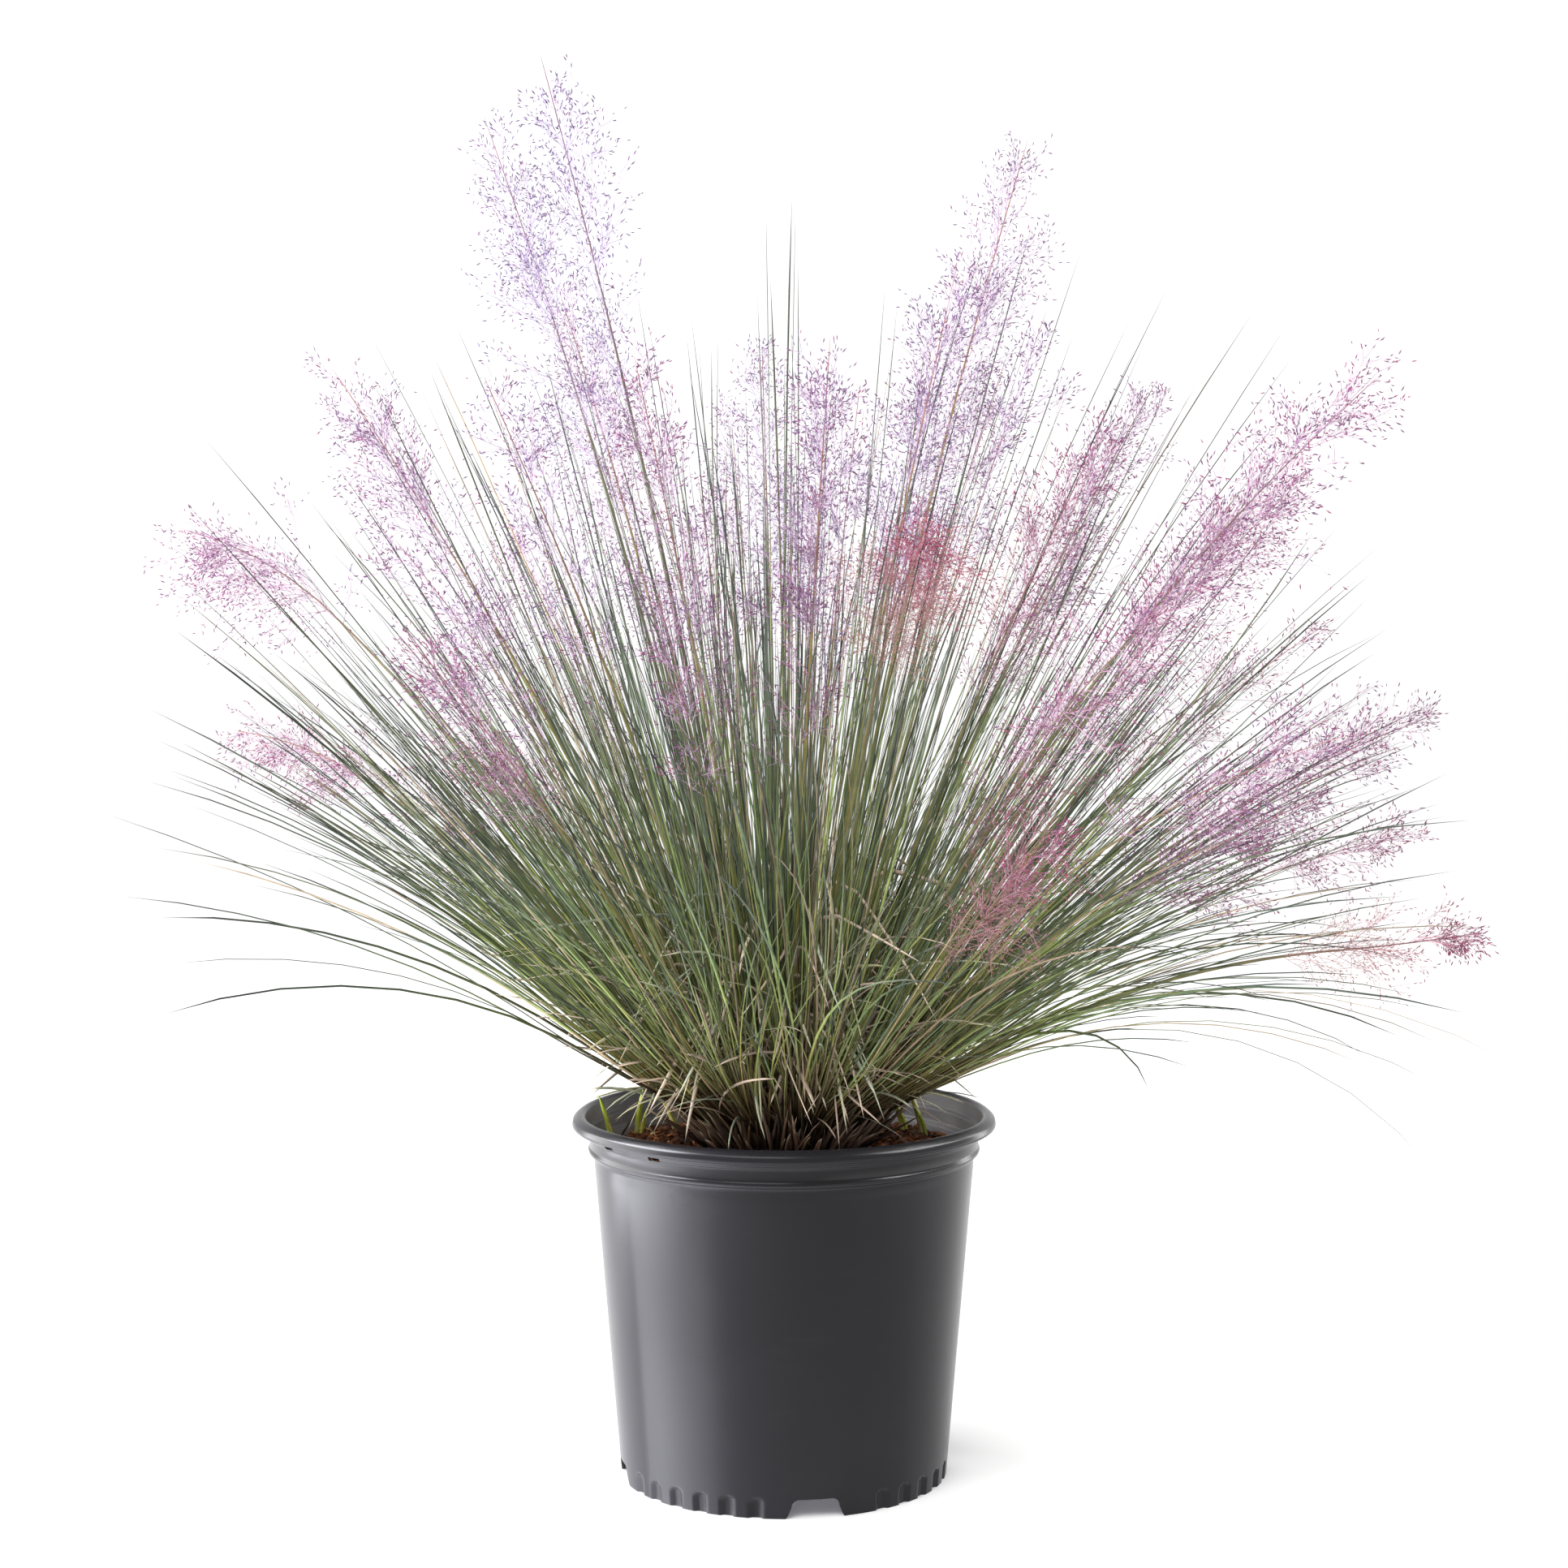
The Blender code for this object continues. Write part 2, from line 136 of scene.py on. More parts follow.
# Loose bark chips of each of four shapes: how many, smallest and largest half-length, and flatness.
# Their middles lie between two radii, and their ends keep inside a third.
CHIP_SHAPES = 4
CHIP_SIZES = ((190, 0.0028, 0.0080, 0.34), (520, 0.0009, 0.0026, 0.55))
CHIPS_FROM = 0.050
CHIPS_TO = 0.1195
CHIP_ENDS_TO = 0.1225
ROOTS_AND_TWIGS = 30

# How many old sheaths and dry blades stand round the crown
OLD_SHEATHS = 470
ARCHING_BLADES = 240
FOLDED_BLADES = 150

# They keep this far over the mix inside its radius, over the pot's wall outside it, and over the rim from
# a little inside the rim on
MIX_RADIUS = 0.116
OVER_MIX = 0.001
OVER_WALL = 0.004
OVER_RIM = 0.030
INSIDE_RIM = 0.006

# Flower stalks, as in the CAD: where they start as a fraction of the clump's radius, azimuth, length,
# plume length, plume radius and nod.
# Then the plume's tone, from 0 lavender to 1 crimson, how full it is and how far its branches droop.
FLOWER_STALKS = (
    (0.26, -115, 0.70, 0.19, 0.024, 0, 0.05, 1.4, 0.05),
    (0.26, -40, 0.70, 0.17, 0.024, 0, 0.03, 0.9, 0.05),
    (0.26, 130, 0.69, 0.17, 0.024, 0, 0.25, 1.4, 0.05),
    (0.26, 36, 0.57, 0.16, 0.022, 0, 0.20, 1.2, 0.05),
    (0.46, -90, 0.56, 0.18, 0.025, 0, 0.30, 1.6, 0.10),
    (0.66, -105, 0.56, 0.13, 0.022, 25, 0.42, 1.2, 0.75),
    (0.86, -117, 0.47, 0.12, 0.018, 15, 0.55, 0.9, 0.50),
    (0.46, -38, 0.54, 0.15, 0.022, 0, 0.20, 0.8, 0.05),
    (0.46, -151, 0.65, 0.17, 0.024, 0, 0.30, 1.2, 0.05),
    (0.46, -17, 0.55, 0.15, 0.020, 0, 0.35, 1.0, 0.05),
    (0.46, -177, 0.60, 0.16, 0.024, 0, 0.15, 1.0, 0.05),
    (0.46, 5, 0.56, 0.15, 0.020, 0, 0.25, 1.3, 0.05),
    (0.46, 19, 0.47, 0.12, 0.018, 40, 1.00, 1.9, 0.85),
    (0.46, 46, 0.50, 0.14, 0.020, 0, 0.60, 1.1, 0.15),
    (0.46, 118, 0.56, 0.15, 0.022, 0, 0.35, 1.3, 0.05),
    (0.66, 40, 0.65, 0.18, 0.026, 0, 0.45, 1.7, 0.10),
    (0.66, 120, 0.57, 0.18, 0.026, 0, 0.60, 1.5, 0.15),
    (0.86, 100, 0.48, 0.15, 0.022, 0, 0.50, 1.2, 0.10),
    (1.06, 80, 0.41, 0.10, 0.016, -15, 0.80, 0.8, 0.10),
    (0.86, 70, 0.38, 0.12, 0.018, 0, 0.50, 1.0, 0.15),
    (0.66, -117, 0.32, 0.10, 0.018, 25, 0.70, 0.8, 0.40),
    (0.86, 30, 0.34, 0.12, 0.018, -25, 0.74, 1.1, 0.30),
    (0.66, -45, 0.42, 0.12, 0.018, 0, 0.50, 0.9, 0.10),
    (0.66, 165, 0.58, 0.16, 0.024, 0, 0.25, 1.0, 0.05),
)

# Slighter stalks beside them: the number of the stalk they stand by, and then as above
SIDE_STALKS = (
    (4, (0.36, 42, 0.56, 0.16, 0.020, 0, 0.20, 0.6, 0.05)),
    (15, (0.46, 148, 0.58, 0.16, 0.022, 0, 0.30, 0.6, 0.05)),
    (3, (0.36, 153, 0.56, 0.17, 0.022, 0, 0.15, 0.6, 0.05)),
    (12, (0.30, 15, 0.50, 0.16, 0.020, 0, 0.20, 0.6, 0.05)),
    (11, (0.46, -172, 0.53, 0.15, 0.020, 0, 0.25, 0.6, 0.05)),
    (10, (0.36, -16, 0.45, 0.14, 0.018, 0, 0.35, 0.5, 0.05)),
    (24, (0.56, 179, 0.54, 0.16, 0.022, 0, 0.20, 0.6, 0.05)),
    (5, (0.66, -147, 0.53, 0.15, 0.020, 0, 0.35, 0.6, 0.10)),
    (8, (0.66, -35, 0.51, 0.14, 0.018, 0, 0.30, 0.5, 0.10)),
    (9, (0.56, -156, 0.54, 0.16, 0.020, 0, 0.30, 0.7, 0.05)),
    (14, (0.66, 144, 0.53, 0.16, 0.022, 0, 0.50, 0.8, 0.10)),
    (16, (0.76, 26, 0.56, 0.16, 0.020, 0, 0.50, 0.8, 0.10)),
    (20, (0.86, 36, 0.53, 0.14, 0.020, 0, 0.45, 0.7, 0.10)),
    (22, (0.66, 39, 0.37, 0.12, 0.016, 0, 0.65, 0.6, 0.20)),
    (7, (0.86, -120, 0.39, 0.12, 0.016, 0, 0.50, 0.5, 0.20)),
    (23, (0.56, -16, 0.42, 0.13, 0.016, 0, 0.40, 0.5, 0.05)),
    (18, (0.86, 146, 0.55, 0.15, 0.020, 0, 0.45, 0.8, 0.10)),
    (19, (0.96, 95, 0.41, 0.12, 0.018, 0, 0.60, 0.8, 0.10)),
    (21, (0.66, -149, 0.42, 0.14, 0.018, 0, 0.45, 0.4, 0.10)),
    (13, (0.46, 4, 0.45, 0.14, 0.016, 0, 0.45, 0.5, 0.05)),
    (17, (0.76, 112, 0.50, 0.17, 0.022, 0, 0.60, 0.8, 0.10)),
)

# Green sprouts, as in the CAD: x, y, height and sideways lean of the tip
SPROUTS = (
    (-0.1150, 0.0150, 0.038, -0.006),
    (-0.1000, 0.0480, 0.036, 0.003),
    (-0.0740, 0.0460, 0.026, -0.008),
    (0.0800, 0.0450, 0.036, -0.007),
    (0.0930, 0.0360, 0.042, -0.010),
)

# Small shoots that lie on the mix: the sprout they belong to, x, y, length, heading and lean
LYING_SPROUTS = (
    (3, -0.0500, -0.0970, 0.024, 75, 78),
    (4, 0.0440, -0.0860, 0.028, 85, 84),
    (5, 0.0620, -0.0820, 0.018, -60, 66),
)
SPROUT_STATIONS = 8
SPROUT_HALF_WIDTHS = (0.0021, 0.0016, 0.0015)

# Leaves: angles in degrees, half-widths in metres, and what differs towards the right
LEAVES = 2580
LEAVES_PER_SHOOT = 6
LEAF_STATIONS = 10
LEAF_HALF_WIDTHS = (0.00044, 0.00110)
LEAF_FLATNESS = 0.62
MOST_LEAN = 46
SHOOT_LEAN_SPREAD = 4.0
LEAF_LEAN_SPREAD = 3.6
SHOOT_SWING_SPREAD = 7.0
LEAF_SWING_SPREAD = 4.5
TURN_SPREAD = 15.0
LONG_LEAVES_FROM = 0.69
SHORTEST_LEAVES = 0.28
WAYWARD_LEAVES = 0.09
SPARSE_TO_RIGHT = 0.22
LEAN_TO_RIGHT = 3.5
LONG_LEAVES_TO_RIGHT = 0.15

# Long leaves that stand clear of the rest: azimuth, where they start as a fraction of the clump's
# radius, radius and height of the tip, and arch
LONE_LEAVES = (
    (20, 0.10, 0.022, 0.838, 4),
    (140, 0.40, 0.277, 0.846, 6),
    (50, 0.50, 0.274, 0.735, 8),
    (125, 0.60, 0.365, 0.735, 10),
    (110, 0.55, 0.371, 0.769, 8),
    (75, 0.75, 0.380, 0.599, 16),
    (100, 0.85, 0.410, 0.544, 22),
    (85, 1.00, 0.408, 0.372, 30),
    (70, 1.02, 0.382, 0.350, 48),
    (-95, 0.62, 0.388, 0.689, 8),
    (-80, 0.80, 0.392, 0.562, 16),
    (-100, 0.86, 0.437, 0.503, 24),
    (-75, 0.92, 0.404, 0.494, 26),
    (-110, 0.90, 0.460, 0.452, 26),
    (-88, 1.00, 0.443, 0.440, 22),
    (-98, 1.03, 0.455, 0.377, 34),
    (-62, 1.03, 0.422, 0.335, 62),
    (-72, 1.03, 0.402, 0.356, 52),
    (-104, 1.02, 0.446, 0.357, 44),
    (-150, 0.30, 0.191, 0.772, 5),
    (-20, 0.22, 0.164, 0.755, 5),
    (-60, 0.50, 0.224, 0.676, 8),
    (70, 0.25, 0.116, 0.782, 5),
    (60, 0.60, 0.333, 0.668, 10),
    (-120, 0.68, 0.363, 0.633, 12),
    (-60, 0.84, 0.355, 0.553, 20),
    (40, 0.90, 0.379, 0.511, 30),
    (-40, 0.92, 0.356, 0.459, 36),
    (110, 0.98, 0.389, 0.423, 30),
)

# Plumes: how many main branches at fullness 1, side branches on each, places of the seeds along those,
# half-widths of the branches from foot to tip, and half-lengths of the seeds
MAIN_BRANCHES = 44
SIDE_BRANCHES = 8
SEED_PLACES = (0.35, 0.70, 1.0)
MAIN_BRANCH_WIDTHS = (0.00021, 0.00013)
SIDE_BRANCH_WIDTHS = (0.00015, 0.00011)
SEED_STALK_WIDTHS = (0.00011, 0.00008)
SEED_HALF_LENGTHS = (0.0013, 0.0023)
SEED_SLIMNESS = 0.25

# Branches keep this far inside the plant's box, so that what grows on them is inside it too
MAIN_BRANCH_MARGIN = 0.004
SIDE_BRANCH_MARGIN = 0.002

# Stems: half-widths at the foot, over it, below the plume, at its foot and at its tip
STEM_WIDTHS = (0.0015, 0.0014, 0.0011, 0.0006, 0.0002)
STEM_STATIONS = 22
SIDE_STALK_THICKNESS = 0.75

# Camera, fitted to the pot's rim and foot
SENSOR_WIDTH = 36.0
LENS = 71.05
CAMERA_PLACE = (0.0, -2.024, 0.615)
CAMERA_TILT = 4.43

# Plain softboxes: azimuth, elevation, distance, width, height and power
SOFTBOXES = {
    "left_softbox": (-100, 0, 1.9, 2.2, 1.7, 110.0),
    "right_strip": (128, 4, 2.0, 0.4, 1.6, 16.0),
    "front_key": (-20, 46, 2.6, 1.6, 1.2, 45.0),
}
LIGHTS_AIM = (0, 0, 0.35)

# Upright soft lights for the gloss of the pot alone: azimuth, distance, width, height of the middle,
# height, power and colour
COOL, WARM = (0.92, 0.93, 1.0), (1.0, 0.98, 0.98)
POT_CARDS = {
    "left_pot_card": (-89.5, 0.75, 0.84, -0.49, 1.0, 225.0, COOL),
    "right_pot_card": (70, 0.90, 2.0, -0.30, 1.0, 13.0, WARM),
    "left_rim_card": (-84, 0.80, 0.7, 0.95, 0.7, 80.0, COOL),
    "right_rim_card": (84, 0.80, 0.7, 0.95, 0.7, 40.0, WARM),
    "low_front_card": (0, 0.30, 1.0, -0.75, 1.0, 80.0, WARM),
}
SURROUND_STRENGTH = 1.12
FLOOR_RADIUS = 14.0
FLOOR_COLOUR = (0.90, 0.90, 0.90)


# Materials


def new_material(name):
    material = bpy.data.materials.new(name)
    material.use_nodes = True
    return material, material.node_tree.nodes, material.node_tree.links


def new_group(name, inputs, output):
    """A shader node group with named inputs and one output: its tree and its two end nodes."""
    group = bpy.data.node_groups.new(name, "ShaderNodeTree")
    for label, kind in inputs:
        group.interface.new_socket(name=label, in_out="INPUT", socket_type=kind)
    group.interface.new_socket(name=output[0], in_out="OUTPUT", socket_type=output[1])
    return group, group.nodes.new("NodeGroupInput").outputs, group.nodes.new("NodeGroupOutput").inputs


def give(links, socket, value):
    """Sets a socket by a link, a colour or a number."""
    if isinstance(value, bpy.types.NodeSocket):
        links.new(value, socket)
    elif isinstance(value, tuple) and socket.type == "RGBA":
        socket.default_value = (*value, 1.0)
    else:
        socket.default_value = value


def placed(nodes, links, group, **values):
    """A node group placed in a material, with its own values: its output."""
    node = nodes.new("ShaderNodeGroup")
    node.node_tree = group
    for name, value in values.items():
        give(links, node.inputs[name.replace("_", " ")], value)
    return node.outputs[0]


def ramp(nodes, links, value, stops):
    node = nodes.new("ShaderNodeValToRGB")
    elements = node.color_ramp.elements
    elements[0].position, elements[0].color = stops[0][0], (*stops[0][1], 1.0)
    elements[1].position, elements[1].color = stops[-1][0], (*stops[-1][1], 1.0)
    for place, colour in stops[1:-1]:
        element = elements.new(place)
        element.color = (*colour, 1.0)
    links.new(value, node.inputs["Fac"])
    return node.outputs["Color"]


def attribute(nodes, name):
    node = nodes.new("ShaderNodeAttribute")
    node.attribute_name = name
    return node.outputs["Fac"]


def mixed(nodes, links, factor, first, second, blend="MIX"):
    node = nodes.new("ShaderNodeMix")
    node.data_type = "RGBA"
    node.blend_type = blend
    for name, value in (("Factor", factor), (6, first), (7, second)):
        give(links, node.inputs[name], value)
    return node.outputs[2]


def ranged(nodes, links, value, low, high, to_low=0.0, to_high=1.0):
    node = nodes.new("ShaderNodeMapRange")
    names = ("Value", "From Min", "From Max", "To Min", "To Max")
    for name, given in zip(names, (value, low, high, to_low, to_high)):
        give(links, node.inputs[name], given)
    return node.outputs["Result"]


def calculated(nodes, links, operation, first, second):
    node = nodes.new("ShaderNodeMath")
    node.operation = operation
    give(links, node.inputs[0], first)
    give(links, node.inputs[1], second)
    return node.outputs["Value"]


def bumped(nodes, links, height, strength, distance):
    node = nodes.new("ShaderNodeBump")
    node.inputs["Strength"].default_value = strength
    node.inputs["Distance"].default_value = distance
    links.new(height, node.inputs["Height"])
    return node.outputs["Normal"]


def grain_group():
    """Noise fixed to the object, which may be stretched along an axis."""
    inputs = (("Scale", "NodeSocketFloat"), ("Detail", "NodeSocketFloat"), ("Stretch", "NodeSocketVector"))
    group, given, result = new_group("grain", inputs, ("Value", "NodeSocketFloat"))
    place = group.nodes.new("ShaderNodeTexCoord")
    mapping = group.nodes.new("ShaderNodeMapping")
    texture = group.nodes.new("ShaderNodeTexNoise")
    group.links.new(place.outputs["Object"], mapping.inputs["Vector"])
    group.links.new(given["Stretch"], mapping.inputs["Scale"])
    group.links.new(mapping.outputs["Vector"], texture.inputs["Vector"])
    group.links.new(given["Scale"], texture.inputs["Scale"])
    group.links.new(given["Detail"], texture.inputs["Detail"])
    group.links.new(texture.outputs["Fac"], result["Value"])
    return group


def mottle_group():
    """A colour made darker and lighter by a value that varies about one half."""
    inputs = (
        ("Color", "NodeSocketColor"), ("Value", "NodeSocketFloat"), ("Spread", "NodeSocketFloat"),
        ("Dark", "NodeSocketColor"), ("Light", "NodeSocketColor"),
    )
    group, given, result = new_group("mottle", inputs, ("Color", "NodeSocketColor"))
    nodes, links = group.nodes, group.links
    low = calculated(nodes, links, "SUBTRACT", 0.5, given["Spread"])
    high = calculated(nodes, links, "ADD", 0.5, given["Spread"])
    part = ranged(nodes, links, given["Value"], low, high)
    level = mixed(nodes, links, part, given["Dark"], given["Light"])
    links.new(mixed(nodes, links, 1.0, given["Color"], level, "MULTIPLY"), result["Color"])
    return group


def blade_group():
    """From blade to blade: tint moves the hue and past a threshold is a dry one, and shade is how light."""
    inputs = (
        ("Fresh", "NodeSocketColor"), ("Dry", "NodeSocketColor"), ("Tint", "NodeSocketFloat"),
        ("Dry From", "NodeSocketFloat"), ("Shade", "NodeSocketFloat"),
    )
    group, given, result = new_group("blade_to_blade", inputs, ("Color", "NodeSocketColor"))
    nodes, links = group.nodes, group.links
    part = calculated(nodes, links, "DIVIDE", given["Tint"], given["Dry From"])
    stops = ((0.0, (0.90, 0.98, 1.16)), (0.5, (1.0, 1.0, 1.0)), (1.0, (1.18, 1.04, 0.80)))
    hues = ramp(nodes, links, part, stops)
    varied = mixed(nodes, links, 1.0, given["Fresh"], hues, "MULTIPLY")
    dry_by = calculated(nodes, links, "ADD", given["Dry From"], 0.03)
    is_dry = ranged(nodes, links, given["Tint"], given["Dry From"], dry_by)
    colour = mixed(nodes, links, is_dry, varied, given["Dry"])
    level = nodes.new("ShaderNodeCombineColor")
    for channel in ("Red", "Green", "Blue"):
        links.new(given["Shade"], level.inputs[channel])
    links.new(mixed(nodes, links, 1.0, colour, level.outputs["Color"], "MULTIPLY"), result["Color"])
    return group


def spray_group():
    """For the parts of a plume: some are darker and some lighter, and a shade under 1 makes them straw."""
    inputs = (("Tone", "NodeSocketColor"), ("Tint", "NodeSocketFloat"), ("Shade", "NodeSocketFloat"))
    group, given, result = new_group("spray", inputs, ("Color", "NodeSocketColor"))
    nodes, links = group.nodes, group.links
    stops = ((0.0, (0.60, 0.50, 0.62)), (0.5, (1.0, 1.0, 1.0)), (1.0, (1.40, 1.26, 1.28)))
    colour = mixed(nodes, links, 1.0, given["Tone"], ramp(nodes, links, given["Tint"], stops), "MULTIPLY")
    links.new(mixed(nodes, links, given["Shade"], (0.500, 0.300, 0.200), colour), result["Color"])
    return group


GRAIN = grain_group()
MOTTLE = mottle_group()
BLADE_TO_BLADE = blade_group()
SPRAY = spray_group()
EVEN = (1.0, 1.0, 1.0)


def shoot_material(name, along_stops, dry_stops, dry_from, roughness):
    """For leaves and sheaths: colour runs along the blade, differs from blade to blade, and some are dry."""
    material, nodes, links = new_material(name)
    shader = nodes["Principled BSDF"]
    along = attribute(nodes, "along")
    colour = placed(
        nodes, links, BLADE_TO_BLADE, Fresh=ramp(nodes, links, along, along_stops),
        Dry=ramp(nodes, links, along, dry_stops), Tint=attribute(nodes, "tint"), Dry_From=dry_from,
        Shade=attribute(nodes, "shade"),
    )
    streak = placed(nodes, links, GRAIN, Scale=90.0, Detail=4.0, Stretch=EVEN)
    colour = placed(
        nodes, links, MOTTLE, Color=colour, Value=streak, Spread=0.2, Dark=(0.72, 0.74, 0.70),
        Light=(1.22, 1.18, 1.10),
    )
    links.new(colour, shader.inputs["Base Color"])
    rough = ranged(nodes, links, streak, 0.3, 0.7, roughness - 0.08, roughness + 0.10)
    links.new(rough, shader.inputs["Roughness"])
    links.new(bumped(nodes, links, streak, 0.25, 0.0003), shader.inputs["Normal"])
    shader.inputs["Specular IOR Level"].default_value = 0.24
    return material


LEAF = shoot_material(
    "grass_leaf",
    (
        (0.00, (0.040, 0.025, 0.015)),
        (0.10, (0.088, 0.060, 0.033)),
        (0.22, (0.176, 0.150, 0.068)),
        (0.42, (0.196, 0.252, 0.084)),
        (0.70, (0.096, 0.126, 0.080)),
        (1.00, (0.040, 0.042, 0.048)),
    ),
    (
        (0.00, (0.110, 0.065, 0.042)),
        (0.25, (0.320, 0.240, 0.160)),
        (0.70, (0.290, 0.228, 0.160)),
        (1.00, (0.200, 0.155, 0.125)),
    ),
    dry_from=0.89,
    roughness=0.48,
)
DRY_BLADE = shoot_material(
    "old_leaf",
    (
        (0.00, (0.130, 0.110, 0.065)),
        (0.20, (0.250, 0.262, 0.160)),
        (0.70, (0.365, 0.385, 0.280)),
        (1.00, (0.480, 0.480, 0.350)),
    ),
    (
        (0.00, (0.120, 0.075, 0.060)),
        (0.30, (0.380, 0.285, 0.235)),
        (1.00, (0.540, 0.440, 0.370)),
    ),
    dry_from=0.46,
    roughness=0.55,
)
SHEATH = shoot_material(
    "old_sheath",
    (
        (0.00, (0.012, 0.008, 0.006)),
        (0.30, (0.038, 0.024, 0.016)),
        (0.70, (0.120, 0.080, 0.052)),
        (1.00, (0.260, 0.200, 0.135)),
    ),
    (
        (0.00, (0.032, 0.018, 0.012)),
        (0.60, (0.220, 0.145, 0.115)),
        (1.00, (0.360, 0.265, 0.215)),
    ),
    dry_from=0.66,
    roughness=0.65,
)
STEM = shoot_material(
    "flower_stem",
    (
        (0.00, (0.090, 0.070, 0.035)),
        (0.20, (0.165, 0.175, 0.055)),
        (0.55, (0.205, 0.192, 0.085)),
        (0.74, (0.235, 0.150, 0.100)),
        (1.00, (0.330, 0.130, 0.180)),
    ),
    (
        (0.00, (0.080, 0.065, 0.040)),
        (0.60, (0.120, 0.130, 0.080)),
        (1.00, (0.330, 0.150, 0.260)),
    ),
    dry_from=0.60,
    roughness=0.45,
)
SPROUT = shoot_material(
    "young_sprout",
    (
        (0.00, (0.620, 0.620, 0.280)),
        (0.35, (0.560, 0.640, 0.080)),
        (1.00, (0.330, 0.460, 0.035)),
    ),
    (
        (0.00, (0.620, 0.560, 0.260)),
        (1.00, (0.560, 0.540, 0.090)),
    ),
    dry_from=0.70,
    roughness=0.40,
)


def plume_material(name, lavender, crimson, roughness):
    """For the seeds and the hair-thin branches: tone sets the colour."""
    material, nodes, links = new_material(name)
    shader = nodes["Principled BSDF"]
    halfway = tuple((a + b) / 2 for a, b in zip(lavender, crimson))
    tones = ramp(nodes, links, attribute(nodes, "tone"), ((0.0, lavender), (0.5, halfway), (1.0, crimson)))
    colour = placed(
        nodes, links, SPRAY, Tone=tones, Tint=attribute(nodes, "tint"), Shade=attribute(nodes, "shade")
    )
    grain = placed(nodes, links, GRAIN, Scale=700.0, Detail=2.0, Stretch=EVEN)
    colour = placed(
        nodes, links, MOTTLE, Color=colour, Value=grain, Spread=0.15, Dark=(0.85, 0.85, 0.85),
        Light=(1.12, 1.12, 1.12),
    )
    links.new(colour, shader.inputs["Base Color"])
    shader.inputs["Roughness"].default_value = roughness
    shader.inputs["Specular IOR Level"].default_value = 0.3
    return material


SEED = plume_material("plume_seed", (0.155, 0.108, 0.235), (0.300, 0.034, 0.104), 0.5)
HAIR = plume_material("plume_branch", (0.510, 0.450, 0.650), (0.570, 0.240, 0.325), 0.6)


def bark_material():
    """Dark brown to orange-brown bark, with a few pale chips and roots."""
    material, nodes, links = new_material("bark_mix")
    shader = nodes["Principled BSDF"]
    stops = (
        (0.00, (0.016, 0.008, 0.004)),
        (0.30, (0.070, 0.026, 0.010)),
        (0.62, (0.190, 0.066, 0.022)),
        (0.88, (0.350, 0.140, 0.048)),
        (1.00, (0.620, 0.430, 0.270)),
    )
    tones = ramp(nodes, links, attribute(nodes, "tint"), stops)
    grain = placed(nodes, links, GRAIN, Scale=420.0, Detail=5.0, Stretch=EVEN)
    colour = placed(
        nodes, links, MOTTLE, Color=tones, Value=grain, Spread=0.2, Dark=(0.40, 0.36, 0.33),
        Light=(1.60, 1.50, 1.40),
    )
    links.new(colour, shader.inputs["Base Color"])
    links.new(ranged(nodes, links, grain, 0.3, 0.7, 0.95, 0.60), shader.inputs["Roughness"])
    links.new(bumped(nodes, links, grain, 0.8, 0.0012), shader.inputs["Normal"])
    shader.inputs["Specular IOR Level"].default_value = 0.15
    return material


BARK = bark_material()


def plastic_material():
    """Satin charcoal plastic with a fine moulded grain, faint scuffs, and on its inside dust and painted
    reflected light.
    """
    material, nodes, links = new_material("nursery_plastic")
    shader = nodes["Principled BSDF"]
    cloud = placed(nodes, links, GRAIN, Scale=9.0, Detail=4.0, Stretch=EVEN)
    grain = placed(nodes, links, GRAIN, Scale=900.0, Detail=2.0, Stretch=EVEN)
    scuffs = placed(nodes, links, GRAIN, Scale=30.0, Detail=6.0, Stretch=(1.0, 1.0, 4.0))
    colour = placed(
        nodes, links, MOTTLE, Color=(0.0028, 0.0026, 0.0034), Value=cloud, Spread=0.4,
        Dark=(0.82, 0.82, 0.82), Light=(1.18, 1.18, 1.18),
    )
    worn = ranged(nodes, links, scuffs, 0.62, 0.90, 0.0, 0.12)
    colour = mixed(nodes, links, worn, colour, (0.018, 0.017, 0.019))
    # Pale brown patches on the inner face: dust, and painted reflected light that lightens the inside of the
    # wall
    dust_and_light_patches = ranged(nodes, links, scuffs, 0.30, 0.70, 0.08, 0.42)
    inside = attribute(nodes, "inside")
    dust_and_painted_light = calculated(nodes, links, "MULTIPLY", dust_and_light_patches, inside)
    links.new(mixed(nodes, links, dust_and_painted_light, colour, (0.042, 0.035, 0.028)), shader.inputs["Base Color"])
    satin = ranged(nodes, links, cloud, 0.1, 0.9, 0.21, 0.30)
    dull = ranged(nodes, links, inside, 0.0, 1.0, 0.0, 0.28)
    links.new(calculated(nodes, links, "ADD", satin, dull), shader.inputs["Roughness"])
    links.new(bumped(nodes, links, grain, 0.10, 0.0002), shader.inputs["Normal"])
    shader.inputs["Specular IOR Level"].default_value = 0.18
    return material


PLASTIC = plastic_material()


# Meshes


def outward(azimuth):
    angle = math.radians(azimuth)
    return Vector((math.sin(angle), -math.cos(angle), 0.0))


def round_the_axis(azimuth, radius, height):
    """Points at those azimuths in radians, radii and heights."""
    across, back = np.sin(azimuth) * radius, -np.cos(azimuth) * radius
    return np.stack((across, back, np.broadcast_to(height, azimuth.shape)), axis=-1)


def outer_wall_radius(height):
    return BASE_RADIUS + (BODY_TOP_RADIUS - BASE_RADIUS) * height / BODY_TOP_HEIGHT


def as_object(name, data):
    thing = bpy.data.objects.new(name, data)
    bpy.context.scene.collection.objects.link(thing)
    return thing


def spun(outline, sides):
    """A body of revolution of an outline of radii and heights."""
    bm = bmesh.new()
    points = [bm.verts.new((radius, 0, height)) for radius, height in outline]
    edges = [bm.edges.new(pair) for pair in zip(points, points[1:])]
    bmesh.ops.spin(
        bm, geom=points + edges, cent=(0, 0, 0), axis=(0, 0, 1), angle=math.tau, steps=sides, use_merge=True
    )
    bmesh.ops.remove_doubles(bm, verts=bm.verts, dist=0.00001)
    return bm


